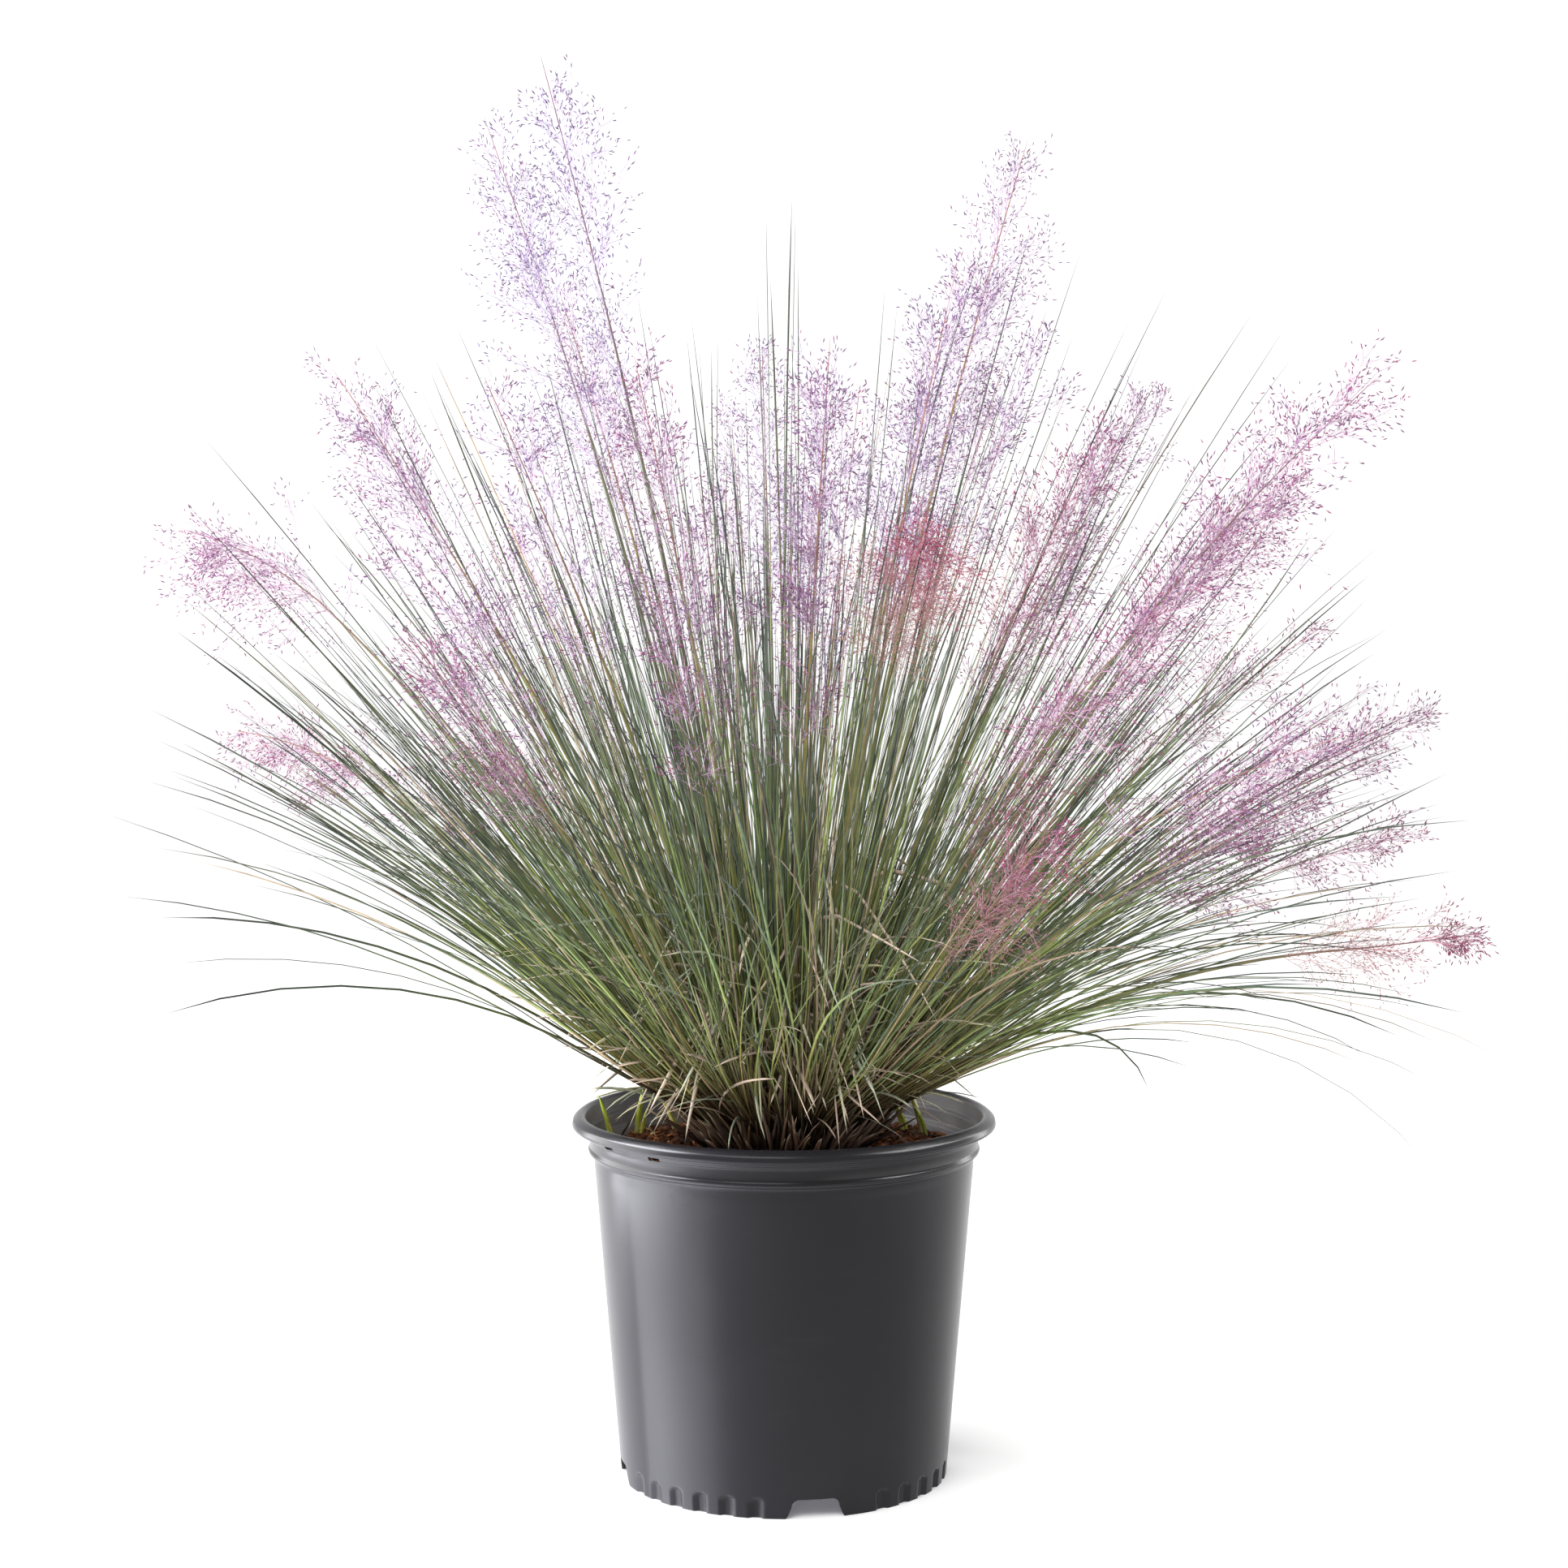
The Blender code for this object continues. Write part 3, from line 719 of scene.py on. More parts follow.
def strand_template(sides, stations):
    """A closed strand of one turn of corners per station and a tip: triangles, stations and corners."""
    bm = bmesh.new()
    bmesh.ops.create_circle(bm, cap_ends=True, segments=sides, radius=1.0)
    foot = bm.verts[:]
    end = bm.faces[:][0]
    for station in range(1, stations + 1):
        end = bmesh.ops.extrude_discrete_faces(bm, faces=[end])["faces"][0]
        for vert in end.verts:
            vert.co.z = station
    bmesh.ops.pointmerge(bm, verts=end.verts[:], merge_co=(0, 0, stations))
    bm.faces.new(foot)
    return read_template(bm)


def seed_template():
    """A slim spindle: two three-sided cones foot to foot."""
    bm = bmesh.new()
    for low, high, middle in ((1.0, 0.0, 0.5), (0.0, 1.0, -0.5)):
        bmesh.ops.create_cone(
            bm, cap_ends=False, segments=3, radius1=low, radius2=high, depth=1.0,
            matrix=Matrix.Translation((0, 0, middle)),
        )
    bmesh.ops.remove_doubles(bm, verts=bm.verts, dist=0.001)
    return read_template(bm)


def chip_template(seed):
    """A broken flake of bark."""
    chance = np.random.default_rng(seed)
    bm = bmesh.new()
    bmesh.ops.create_icosphere(bm, subdivisions=1, radius=1.0)
    for vert in bm.verts:
        vert.co *= float(chance.uniform(0.65, 1.15))
    return read_template(bm)


def read_template(bm):
    bmesh.ops.recalc_face_normals(bm, faces=bm.faces)
    bmesh.ops.triangulate(bm, faces=bm.faces)
    bm.verts.index_update()
    corners = np.array([vert.co[:] for vert in bm.verts])
    faces = np.array([[vert.index for vert in face.verts] for face in bm.faces])
    bm.free()
    return corners, faces


def unit(rows):
    return rows / np.linalg.norm(rows, axis=-1, keepdims=True)


def squares(vectors):
    """Two directions square to each vector and to each other."""
    helper = np.where(np.abs(vectors[..., 2:3]) > 0.9, np.array([1.0, 0, 0]), np.array([0, 0, 1.0]))
    first = unit(np.cross(vectors, helper))
    return first, np.cross(vectors, first)


def rolled(first, second, spin):
    """Two square directions turned about the third one by an angle in radians."""
    cos, sin = np.cos(spin), np.sin(spin)
    return first * cos + second * sin, second * cos - first * sin


def copied(verts, faces, values):
    """Rows of vertices, one row to a copy of a template, as one array with its triangles and attributes."""
    count, size = verts.shape[:2]
    all_faces = faces[None] + (np.arange(count) * size)[:, None, None]
    spread = {name: np.repeat(value, size) for name, value in values.items()}
    return verts.reshape(-1, 3), all_faces.reshape(-1, 3), spread


def joined(parts):
    """Vertices, triangles and attributes of several arrays as one."""
    verts, faces, values, offset = [], [], {}, 0
    for part_verts, part_faces, part_values in parts:
        verts.append(part_verts)
        faces.append(part_faces + offset)
        offset += len(part_verts)
        for name in ("along", "tint", "shade", "tone", "kind"):
            given = part_values.get(name, 1.0 if name == "shade" else 0.0)
            values.setdefault(name, []).append(np.broadcast_to(given, (len(part_verts),)))
    return np.concatenate(verts), np.concatenate(faces), {k: np.concatenate(v) for k, v in values.items()}


def array_strands(template, centres, half_width, flat, spin, values):
    """Copies of the strand template, laid along rows of centres."""
    corners, faces = template
    station = np.rint(corners[:, 2]).astype(int)
    side, up = rolled(*squares(unit(np.gradient(centres, axis=1))), spin[:, None, None])
    width = half_width[:, station, None]
    across = side[:, station] * corners[:, 0:1] + up[:, station] * corners[:, 1:2] * flat
    verts, all_faces, spread = copied(centres[:, station] + across * width, faces, values)
    return verts, all_faces, {**spread, "along": np.tile(station / station.max(), len(centres))}


def array_solids(template, places, axes, sizes, values):
    """Copies of a solid template: axes are three square directions and sizes the three half-sizes."""
    corners, faces = template
    verts = places[:, None] + sum(
        axes[k][:, None] * corners[None, :, k, None] * sizes[k][:, None, None] for k in range(3)
    )
    return copied(verts, faces, values)


def add_piece(name, parts, materials, slot, *nodes, smooth=True):
    """One object from arrays. The attribute kind says which of its materials a part of it has."""
    verts, faces, values = joined(parts)
    mesh = bpy.data.meshes.new(name)
    mesh.vertices.add(len(verts))
    mesh.vertices.foreach_set("co", verts.astype(np.float32).ravel())
    mesh.loops.add(faces.size)
    mesh.loops.foreach_set("vertex_index", faces.astype(np.int32).ravel())
    mesh.polygons.add(len(faces))
    mesh.polygons.foreach_set("loop_start", np.arange(0, faces.size, 3, dtype=np.int32))
    mesh.polygons.foreach_set("material_index", values["kind"][faces[:, 0]].astype(np.int32))
    mesh.polygons.foreach_set("use_smooth", np.full(len(faces), smooth))
    mesh.update(calc_edges=True)
    for key in ("along", "tint", "shade", "tone"):
        layer = mesh.attributes.new(key, "FLOAT", "POINT")
        layer.data.foreach_set("value", values[key].astype(np.float32))
    for material in materials:
        mesh.materials.append(material)
    settle(as_object(name, mesh), slot, *nodes)


def settle(piece, slot, *nodes):
    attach(piece, "root")
    if nodes:
        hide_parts(*nodes)


# Shoots


def usual_reach(fraction):
    outer = np.maximum(0.0, (fraction - 0.45) / 0.55)
    return LONGEST_LEAF - (LONGEST_LEAF - EDGE_LEAF) * outer**1.3


def grown(start, steps, length):
    """Rows of points from a start along rows of directions, which share the length out evenly."""
    path = np.cumsum(steps * (length / steps.shape[1])[:, None, None], axis=1) + start[:, None]
    return np.concatenate((start[:, None], path), axis=1)


def walk(start, heading, lean, arch, turn, length, stations, fold_at=None):
    """Rows of points along shoots that lean, arch outwards and swing sideways as they grow.

    A shoot that folds does most of its arching at one place, a share of its length along it.
    """
    middle = (np.arange(stations) + 0.5) / stations
    bending = middle[None]
    if fold_at is not None:
        bending = 0.15 * middle + 0.85 * np.clip((middle - fold_at[:, None]) / 0.14 + 0.5, 0, 1)
    leaning = lean[:, None] + arch[:, None] * bending
    facing = heading[:, None] + turn[:, None] * middle
    steps = np.stack(
        (np.sin(facing) * np.sin(leaning), -np.cos(facing) * np.sin(leaning), np.cos(leaning)), axis=-1
    )
    return grown(start, steps, length)


def drawn_in(points):
    """Rows of points with their feet moved in towards the middle of the crown."""
    gone = np.linalg.norm(np.diff(points, axis=1), axis=-1).cumsum(axis=1)
    gone = np.concatenate((np.zeros((len(points), 1)), gone), axis=1)
    still = np.clip(1 - gone / DRAWN_IN_LENGTH, 0, 1) ** 1.6
    moved = points.copy()
    moved[..., :2] -= DRAWN_IN * still[..., None] * points[:, :1, :2]
    return moved


def outside_box(points, margin):
    low, high = np.array(cad_box[0]) + margin, np.array(cad_box[1]) - margin
    return ((points < low) | (points > high)).any(axis=(1, 2))


def in_reach(start, heading, lean, arch, turn, length, stations, barred, fold_at=None):
    """As walk, with the shoots that would go where they can't made shorter."""
    for _ in range(30):
        points = walk(start, heading, lean, arch, turn, length, stations, fold_at)
        wrong = barred(points)
        if not wrong.any():
            break
        length = np.where(wrong, length * 0.94, length)
        if fold_at is None:
            arch = np.where(wrong, arch * 0.94, arch)
        turn = np.where(wrong, turn * 0.94, turn)
    return points


def tuft_number(fraction, azimuth):
    """Which tuft of the CAD a shoot at that place of the clump belongs to, from 1 to 24."""
    ring = int(np.searchsorted(RING_EDGES, fraction))
    place = int((azimuth % 360) / (360 / TUFT_COUNTS[ring]))
    return sum(TUFT_COUNTS[:ring]) + place + 1


def leaf_widths(count, chance, stations, low, high):
    along = np.linspace(0, 1, stations + 1)
    shape = np.interp(along, (0, 0.10, 0.50, 0.90, 1.0), (0.85, 1.0, 0.88, 0.66, 0.26))
    return (low + (high - low) * chance.uniform(0, 1, count) ** 1.6)[:, None] * shape[None]


def many_leaves(chance):
    """Where the many leaves start and how they grow: a few from each shoot, which lean much alike.

    On the right there are fewer shoots, and their leaves are longer and arch more.
    """
    shoots = LEAVES // LEAVES_PER_SHOOT
    fraction = chance.uniform(0, 1, shoots) ** 0.56 * 1.03
    azimuth = chance.uniform(0, 360, shoots)
    sparse = chance.uniform(0, 1, shoots) < SPARSE_TO_RIGHT * np.sin(np.radians(azimuth))
    fraction, azimuth = fraction[~sparse], azimuth[~sparse]
    shoots = len(azimuth)
    lean = LEAN_AT_EDGE * fraction + chance.normal(0, SHOOT_LEAN_SPREAD, shoots)
    swing = chance.normal(0, SHOOT_SWING_SPREAD, shoots) / np.maximum(fraction, 0.35)
    fraction, azimuth, lean, swing = (
        np.repeat(values, LEAVES_PER_SHOOT) for values in (fraction, azimuth, lean, swing)
    )
    count = len(fraction)
    fraction = np.minimum(fraction + chance.normal(0, 0.012, count), 1.04)
    lean = lean + chance.normal(0, LEAF_LEAN_SPREAD, count)
    to_right = np.sin(np.radians(azimuth))
    more_lean = LEAN_TO_RIGHT * to_right
    more_arch = np.where(to_right > 0, np.interp(fraction, (0.7, 1.0), (0.4, 0.9)), 0.18) * to_right
    most_lean = MOST_LEAN + more_lean - np.abs(chance.normal(0, 3.2, count))
    lean = np.minimum(lean + 0.4 * more_lean * fraction, most_lean)
    swing = swing + chance.normal(0, LEAF_SWING_SPREAD, count)
    likely = np.interp(fraction, (0.3, 1.0), (0.13, 0.40)) + LONG_LEAVES_TO_RIGHT * np.maximum(to_right, 0)
    is_long = chance.uniform(0, 1, count) < likely
    longest = np.where(chance.uniform(0, 1, count) < 0.12, 1.06, 0.98 + 0.03 * to_right)
    share = chance.uniform(LONG_LEAVES_FROM, longest)
    share = np.where(is_long, share, chance.uniform(SHORTEST_LEAVES, LONG_LEAVES_FROM, count))
    droops = chance.uniform(0, 1, count) < np.interp(fraction, (0.5, 0.9), (0.05, 0.02))
    arch = (ARCH_AT_CENTRE + (ARCH_AT_EDGE - ARCH_AT_CENTRE) * fraction**2) * share * (1 + more_arch)
    most_arch = np.interp(fraction, (0.6, 1.0), (0.95, 1.30))
    arch *= np.where(droops, chance.uniform(1.2, 1.7, count), chance.uniform(0.05, most_arch, count))
    wayward = chance.uniform(0, 1, count) < WAYWARD_LEAVES
    swing = swing + np.where(wayward, chance.normal(0, 26.0, count), 0.0)
    turn = chance.normal(0, TURN_SPREAD, count) * np.where(wayward, 2.3, 1.0)
    wayward_arch = np.interp(fraction, (0.6, 0.95), (34.0, 9.0))
    arch = arch + np.where(wayward, chance.uniform(0, wayward_arch, count), 0.0)
    share = np.where(wayward, np.minimum(share, 0.72), share)
    return fraction, azimuth, lean, arch, usual_reach(fraction) * share, swing, turn


def lone_leaves():
    """The same for the leaves that are given by their tips."""
    azimuth, fraction, tip_radius, tip_height, arch = np.array(LONE_LEAVES).T
    out, up = tip_radius - fraction * CLUMP_RADIUS, tip_height - CROWN_TOP - FOOT_RISE
    half = np.radians(arch) / 2
    length = np.hypot(out, up) * half / np.sin(half)
    lean = np.degrees(np.arctan2(out, up)) - arch / 2
    still = np.zeros(len(arch))
    return fraction, azimuth, lean, arch, length, still, still


def make_leaves():
    """All leaves, as one piece for each tuft of the CAD."""
    chance = np.random.default_rng(7)
    rows = zip(many_leaves(chance), lone_leaves())
    fraction, azimuth, lean, arch, length, swing, turn = (np.concatenate(pair) for pair in rows)
    count = len(fraction)
    radians = np.radians(azimuth)
    start = round_the_axis(radians, fraction * CLUMP_RADIUS, CROWN_TOP + FOOT_RISE)
    points = in_reach(
        start, radians + np.radians(swing), np.radians(lean), np.radians(arch), np.radians(turn), length,
        LEAF_STATIONS, lambda rows: outside_box(rows, BOX_MARGIN),
    )
    points = drawn_in(points)
    width = leaf_widths(count, chance, LEAF_STATIONS, *LEAF_HALF_WIDTHS)
    spin = chance.uniform(0, math.tau, count)
    tint = chance.uniform(0, 1, count)
    shade = 0.42 * 4.6 ** chance.uniform(0, 1, count)
    lone = slice(count - len(LONE_LEAVES), count)
    tint[lone] *= 0.5
    shade[lone] *= 0.6
    width[lone] *= 1.2
    template = strand_template(3, LEAF_STATIONS)
    numbers = np.array([tuft_number(f, a) for f, a in zip(fraction, azimuth)])
    for number in range(1, sum(TUFT_COUNTS) + 1):
        mine = numbers == number
        values = {"tint": tint[mine], "shade": shade[mine]}
        part = array_strands(template, points[mine], width[mine], LEAF_FLATNESS, spin[mine], values)
        add_piece(f"leaves_{number:02d}", [part], [LEAF], "leaves", f"leaf_tuft_{number:02d}")


# Flower stalks


def bowed(lean, bend, along):
    """How far out and up a shoot of that lean and bend gets along its length, and its lean there."""
    now = lean + bend * along
    return (math.cos(lean) - math.cos(now)) / bend, (math.sin(now) - math.sin(lean)) / bend, now


def shoot_point(fraction, azimuth, along):
    """A point of the shoot that starts at that place of the clump, and its lean there."""
    arch = math.radians(ARCH_AT_CENTRE + (ARCH_AT_EDGE - ARCH_AT_CENTRE) * fraction**2)
    bend = arch / float(usual_reach(fraction))
    reach, rise, lean = bowed(math.radians(LEAN_AT_EDGE * fraction), bend, along)
    place = outward(azimuth) * (CLUMP_RADIUS * fraction + reach)
    return place + Vector((0, 0, TUFT_TOP + rise)), lean


def stalk_point(stalk, along):
    """A point of the stalk, with the plume's own nod towards its tip."""
    fraction, azimuth, length, plume_length = stalk[:4]
    nod = stalk[5]
    neck = length - plume_length
    point, lean = shoot_point(fraction, azimuth, min(along, neck) if nod else along)
    if not nod or along <= neck:
        return point
    bend = math.radians(nod) / plume_length
    bend += math.radians(ARCH_AT_EDGE * fraction) / length
    reach, rise, _ = bowed(lean, bend, along - neck)
    return point + outward(azimuth) * reach + Vector((0, 0, rise))


def along_row(rows, share):
    """The points at a share of each row of points."""
    place = share * (rows.shape[1] - 1)
    low = np.minimum(place.astype(int), rows.shape[1] - 2)
    part = (place - low)[:, None]
    index = np.arange(len(rows))
    return rows[index, low] * (1 - part) + rows[index, low + 1] * part


def branches(start, first, last, length, stations):
    """Rows of points of branches that turn from a first direction to a last one."""
    middle = ((np.arange(stations) + 0.5) / stations)[None, :, None]
    way = unit(first[:, None] * (1 - middle) + last[:, None] * middle)
    return grown(start, way, length)


def scattered(directions, low, high, chance):
    """Directions turned away from the given ones by an angle between low and high degrees."""
    square, _ = rolled(*squares(directions), chance.uniform(0, math.tau, len(directions))[:, None])
    angle = np.radians(chance.uniform(low, high, len(directions)))[:, None]
    return directions * np.cos(angle) + square * np.sin(angle)


HAIR_LONG = strand_template(3, 5)
HAIR_SHORT = strand_template(3, 2)
HAIR_END = strand_template(3, 1)
SPINDLE = seed_template()


def kept_in(start, first, last, reach, stations, margin):
    """As branches, with those that would leave the plant's box made shorter."""
    for _ in range(14):
        rows = branches(start, first, last, reach, stations)
        wrong = outside_box(rows, margin)
        reach = np.where(wrong, reach * 0.75, reach)
        if not wrong.any():
            break
    return rows


def hairs(template, rows, thick, thin, values):
    """The thin branches of a plume, from how thick they start to how thin they end."""
    count = len(rows)
    widths = np.tile(np.linspace(thick, thin, rows.shape[1]), (count, 1))
    return array_strands(template, rows, widths, 1.0, np.zeros(count), {**values, "kind": np.ones(count)})


def main_branches(stalk, chance):
    """The branches up the axis of a plume: rows of points, places along the axis and lengths."""
    length, plume_length, radius = stalk[2:5]
    fullness, droop = stalk[7:9]
    neck = length - plume_length
    count = int(MAIN_BRANCHES * fullness)
    whorls = np.linspace(-0.35 * (1 - droop), 0.90, 10)
    likely = np.interp(whorls, (-0.35, 0.3, 0.70, 0.90), (0.8, 1.2, 0.75, 0.12))
    up = chance.choice(whorls, count, p=likely / likely.sum()) + chance.normal(0, 0.018, count)
    start = np.array([stalk_point(stalk, neck + plume_length * share)[:] for share in up])
    ahead = np.array([stalk_point(stalk, neck + plume_length * share + 0.002)[:] for share in up])
    axis = unit(ahead - start)
    first = scattered(axis, 12, np.interp(up, (-0.35, 0.5, 0.95), (62, 54, 26)), chance)
    last = unit(first * 0.75 + axis * 0.35 * (1 - droop) - np.array([0, 0, 0.05 + 0.9 * droop]))
    reach = radius * np.interp(up, (-0.35, 0.1, 0.5, 0.8, 1.0), (2.3, 2.7, 2.1, 1.4, 0.8))
    reach *= chance.uniform(0.5, 1.2, count) * (1 + 0.4 * droop)
    reach = np.minimum(reach, plume_length * (1 - up) * 0.80 + 0.006 + 0.035 * droop)
    rows = kept_in(start, first, last, reach, 5, MAIN_BRANCH_MARGIN)
    whole = np.linalg.norm(rows[:, -1] - rows[:, 0], axis=-1) > 0.5 * reach
    return rows[whole], up[whole], reach[whole]


def side_branches(parent, reach, chance):
    """Branches from places along others, which are shorter towards the tips of those."""
    share = chance.uniform(0.18, 1.0, len(parent))
    toward = unit(parent[:, -1] - parent[:, 0])
    first = scattered(toward, 20, 65, chance)
    last = unit(first * 0.8 + toward * 0.3 + chance.normal(0, 0.2, toward.shape))
    reach = np.clip(reach * chance.uniform(0.25, 0.60, len(parent)), 0.004, 0.022) * (1.2 - 0.6 * share)
    return kept_in(along_row(parent, share), first, last, reach, 2, SIDE_BRANCH_MARGIN)


def seeds(places, way, straw, values, chance):
    """Slim seeds at the ends of their stalks, smaller where the plume is straw-coloured."""
    half = chance.uniform(*SEED_HALF_LENGTHS, len(places)) * (1 - 0.45 * straw)
    axis = scattered(way, 0, 20, chance)
    places = places + axis * half[:, None] * 0.8
    sizes = (half * SEED_SLIMNESS, half * SEED_SLIMNESS, half)
    values = {**values, "kind": np.full(len(places), 2.0)}
    return array_solids(SPINDLE, places, (*squares(axis), axis), sizes, values)


def plume_values(tones, straw, chance):
    return {"tint": chance.uniform(0, 1, len(tones)), "tone": tones, "shade": 1 - straw}


def make_plume(stalk, chance):
    """The open spray at the end of a stalk: main branches, side branches, seed stalks and seeds."""
    tone = stalk[6]
    rows, up, reach = main_branches(stalk, chance)
    straw = np.interp(up, (-0.3, 0.7), (1.0, 0.0)) * np.interp(tone, (0.55, 0.75, 1.0), (0.0, 0.5, 0.9))
    along_tone = np.interp(up, (-0.3, 0.2, 0.5, 0.8, 0.95), (0.5, 0.7, 1.0, 1.0, 0.8))
    tones = tone * (along_tone if tone > 0.9 else np.ones(len(up)))
    parts = [hairs(HAIR_LONG, rows, *MAIN_BRANCH_WIDTHS, plume_values(tones, straw, chance))]
    rows, straw, tones, reach = (
        np.repeat(values, SIDE_BRANCHES, axis=0) for values in (rows, straw, tones, reach)
    )
    rows = side_branches(rows, reach, chance)
    parts.append(hairs(HAIR_SHORT, rows, *SIDE_BRANCH_WIDTHS, plume_values(tones, straw, chance)))
    share = np.tile(np.array(SEED_PLACES), len(rows))
    rows, straw, tones = (np.repeat(values, len(SEED_PLACES), axis=0) for values in (rows, straw, tones))
    way = scattered(unit(rows[:, -1] - rows[:, 0]), 8, 60, chance)
    rows = kept_in(along_row(rows, share), way, way, chance.uniform(0.0020, 0.0055, len(rows)), 1, 0.0)
    tones = np.clip(tones + chance.normal(0, 0.18, len(rows)), 0, 1)
    values = plume_values(tones, straw, chance)
    parts.append(hairs(HAIR_END, rows, *SEED_STALK_WIDTHS, values))
    parts.append(seeds(rows[:, -1], way, straw, values, chance))
    return parts


STEM_TEMPLATE = strand_template(6, STEM_STATIONS)


def make_stalk(stalk, thickness, chance):
    """A stem, thicker in its sheath up to most of its height, and the plume on it."""
    length, plume_length, tone = stalk[2], stalk[3], stalk[6]
    foot = shoot_point(stalk[0], stalk[1], 0.0)[0]
    foot.z = CROWN_TOP + FOOT_RISE
    steps = STEM_STATIONS - 0.5
    rows = [foot[:]] + [stalk_point(stalk, length * step / steps)[:] for step in range(1, STEM_STATIONS)]
    rows.append(stalk_point(stalk, length)[:])
    along = np.linspace(0, 1, STEM_STATIONS + 1)
    neck = 1 - plume_length / length
    width = np.interp(along, (0, 0.1, neck * 0.8, neck, 1.0), STEM_WIDTHS)
    tint = np.array([chance.uniform(0, 0.55) if tone > 0.1 else 0.8])
    values = {"tint": tint, "shade": chance.uniform(0.75, 1.2, 1)}
    rows = drawn_in(np.array(rows)[None])
    stem = array_strands(STEM_TEMPLATE, rows, width[None] * thickness, 1.0, np.zeros(1), values)
    return [stem, *make_plume(stalk, chance)]


def make_flower_stalks():
    """One piece for each stalk of the CAD: the stalk with its plume, and the slighter one beside it."""
    chance = np.random.default_rng(19)
    for number, stalk in enumerate(FLOWER_STALKS, 1):
        parts = make_stalk(stalk, 1.0, chance)
        for beside, slighter in SIDE_STALKS:
            if beside == number:
                parts += make_stalk(slighter, SIDE_STALK_THICKNESS, chance)
        name = f"flower_{number:02d}"
        add_piece(name, parts, [STEM, HAIR, SEED], "flower_stalks", f"flower_stalk_{number:02d}")


# Crown: old sheaths and drooping dry leaves


def mix_height(radius):
    edge = outer_wall_radius(MIX_EDGE_HEIGHT) - WALL
    rise = (edge - radius) / (edge - CROWN_RADIUS - 0.004)
    return MIX_EDGE_HEIGHT + (MIX_CROWN_HEIGHT - MIX_EDGE_HEIGHT) * np.clip(rise, 0.0, 1.0)


def heaped(radius):
    """Height of the loose bark there: over the solid mix, and level with it under the crown."""
    return float(mix_height(radius)) + HEAP * float(np.clip((radius - HEAP_FROM) / HEAP_SLOPE, 0, 1))


def meets_pot_or_mix(points):
    """Whether a shoot runs into the potting mix or the pot, or hangs low outside the pot's rim."""
    radius = np.hypot(points[..., 0], points[..., 1])
    over_wall = RIM_HEIGHT + OVER_WALL
    rest = np.where(radius < MIX_RADIUS, mix_height(radius) + HEAP + OVER_MIX, over_wall)
    rest = np.where(radius < HEAP_FROM, MIX_CROWN_HEIGHT + OVER_MIX, rest)
    over_rim = RIM_HEIGHT + OVER_RIM + 0.9 * (radius - RIM_RADIUS + INSIDE_RIM)
    rest = np.where(radius > RIM_RADIUS - INSIDE_RIM, over_rim, rest)
    return (points[..., 2] < rest)[:, 1:].any(axis=1) | outside_box(points, BOX_MARGIN)


def roughened(verts, where, size, depth, seed):
    """Moves the chosen vertices along the height by noise."""
    for index in np.flatnonzero(where):
        x, y = verts[index, :2]
        verts[index, 2] += depth * noise.fractal(Vector((x, y, seed)) / size, 0.7, 2.1, 3)
    return verts


def make_crown():
    """A low dark stump with old sheaths and dry blades standing on it."""
    chance = np.random.default_rng(23)
    foot = MIX_CROWN_HEIGHT + GAP
    rings = [(CROWN_FOOT_RADIUS * share, CROWN_TOP - 0.004 * share**4) for share in np.linspace(1, 0, 14)]
    outline = [(0.0, foot), (CROWN_FOOT_RADIUS, foot), *rings]
    verts, faces = read_template(spun(outline, 72))
    verts = roughened(verts, verts[:, 2] > foot + 0.004, 0.008, 0.0022, 3.0)
    parts = [
        (verts, faces, {"tint": 0.1, "along": 0.12, "shade": 0.8}), old_sheaths(chance, foot + 0.002),
        arching_blades(chance), folded_blades(chance),
    ]
    add_piece("crown_of_old_sheaths", parts, [SHEATH, DRY_BLADE], "crown", "crown")


def unhindered(rows, length):
    """Which shoots kept most of their length clear of the pot and the mix."""
    return np.linalg.norm(np.diff(rows, axis=1), axis=-1).sum(axis=1) > 0.6 * length


def old_sheaths(chance, height):
    """Short stiff bases of old leaves, packed round the crown."""
    count = OLD_SHEATHS
    fraction = np.sqrt(chance.uniform(0.20, 1, count)) * 1.02
    azimuth = np.radians(chance.uniform(0, 360, count))
    lean = np.radians(LEAN_AT_EDGE * 0.88 * fraction**1.3 + chance.normal(0, 7, count))
    length = chance.uniform(0.022, 0.082, count) * np.interp(fraction, (0.7, 1.0), (1.0, 0.75))
    rows = in_reach(
        round_the_axis(azimuth, fraction * CROWN_FOOT_RADIUS, height),
        azimuth + np.radians(chance.normal(0, 14, count)), lean, np.radians(chance.uniform(-10, 25, count)),
        np.radians(chance.normal(0, 10, count)), length, 4, meets_pot_or_mix,
    )
    width = chance.uniform(0.0010, 0.0021, count)[:, None] * np.array([1.0, 1.0, 0.85, 0.6, 0.2])[None]
    values = {"tint": chance.uniform(0, 1, count), "shade": chance.uniform(0.6, 1.35, count)}
    return array_strands(strand_template(5, 4), rows, width, 0.7, chance.uniform(0, math.tau, count), values)


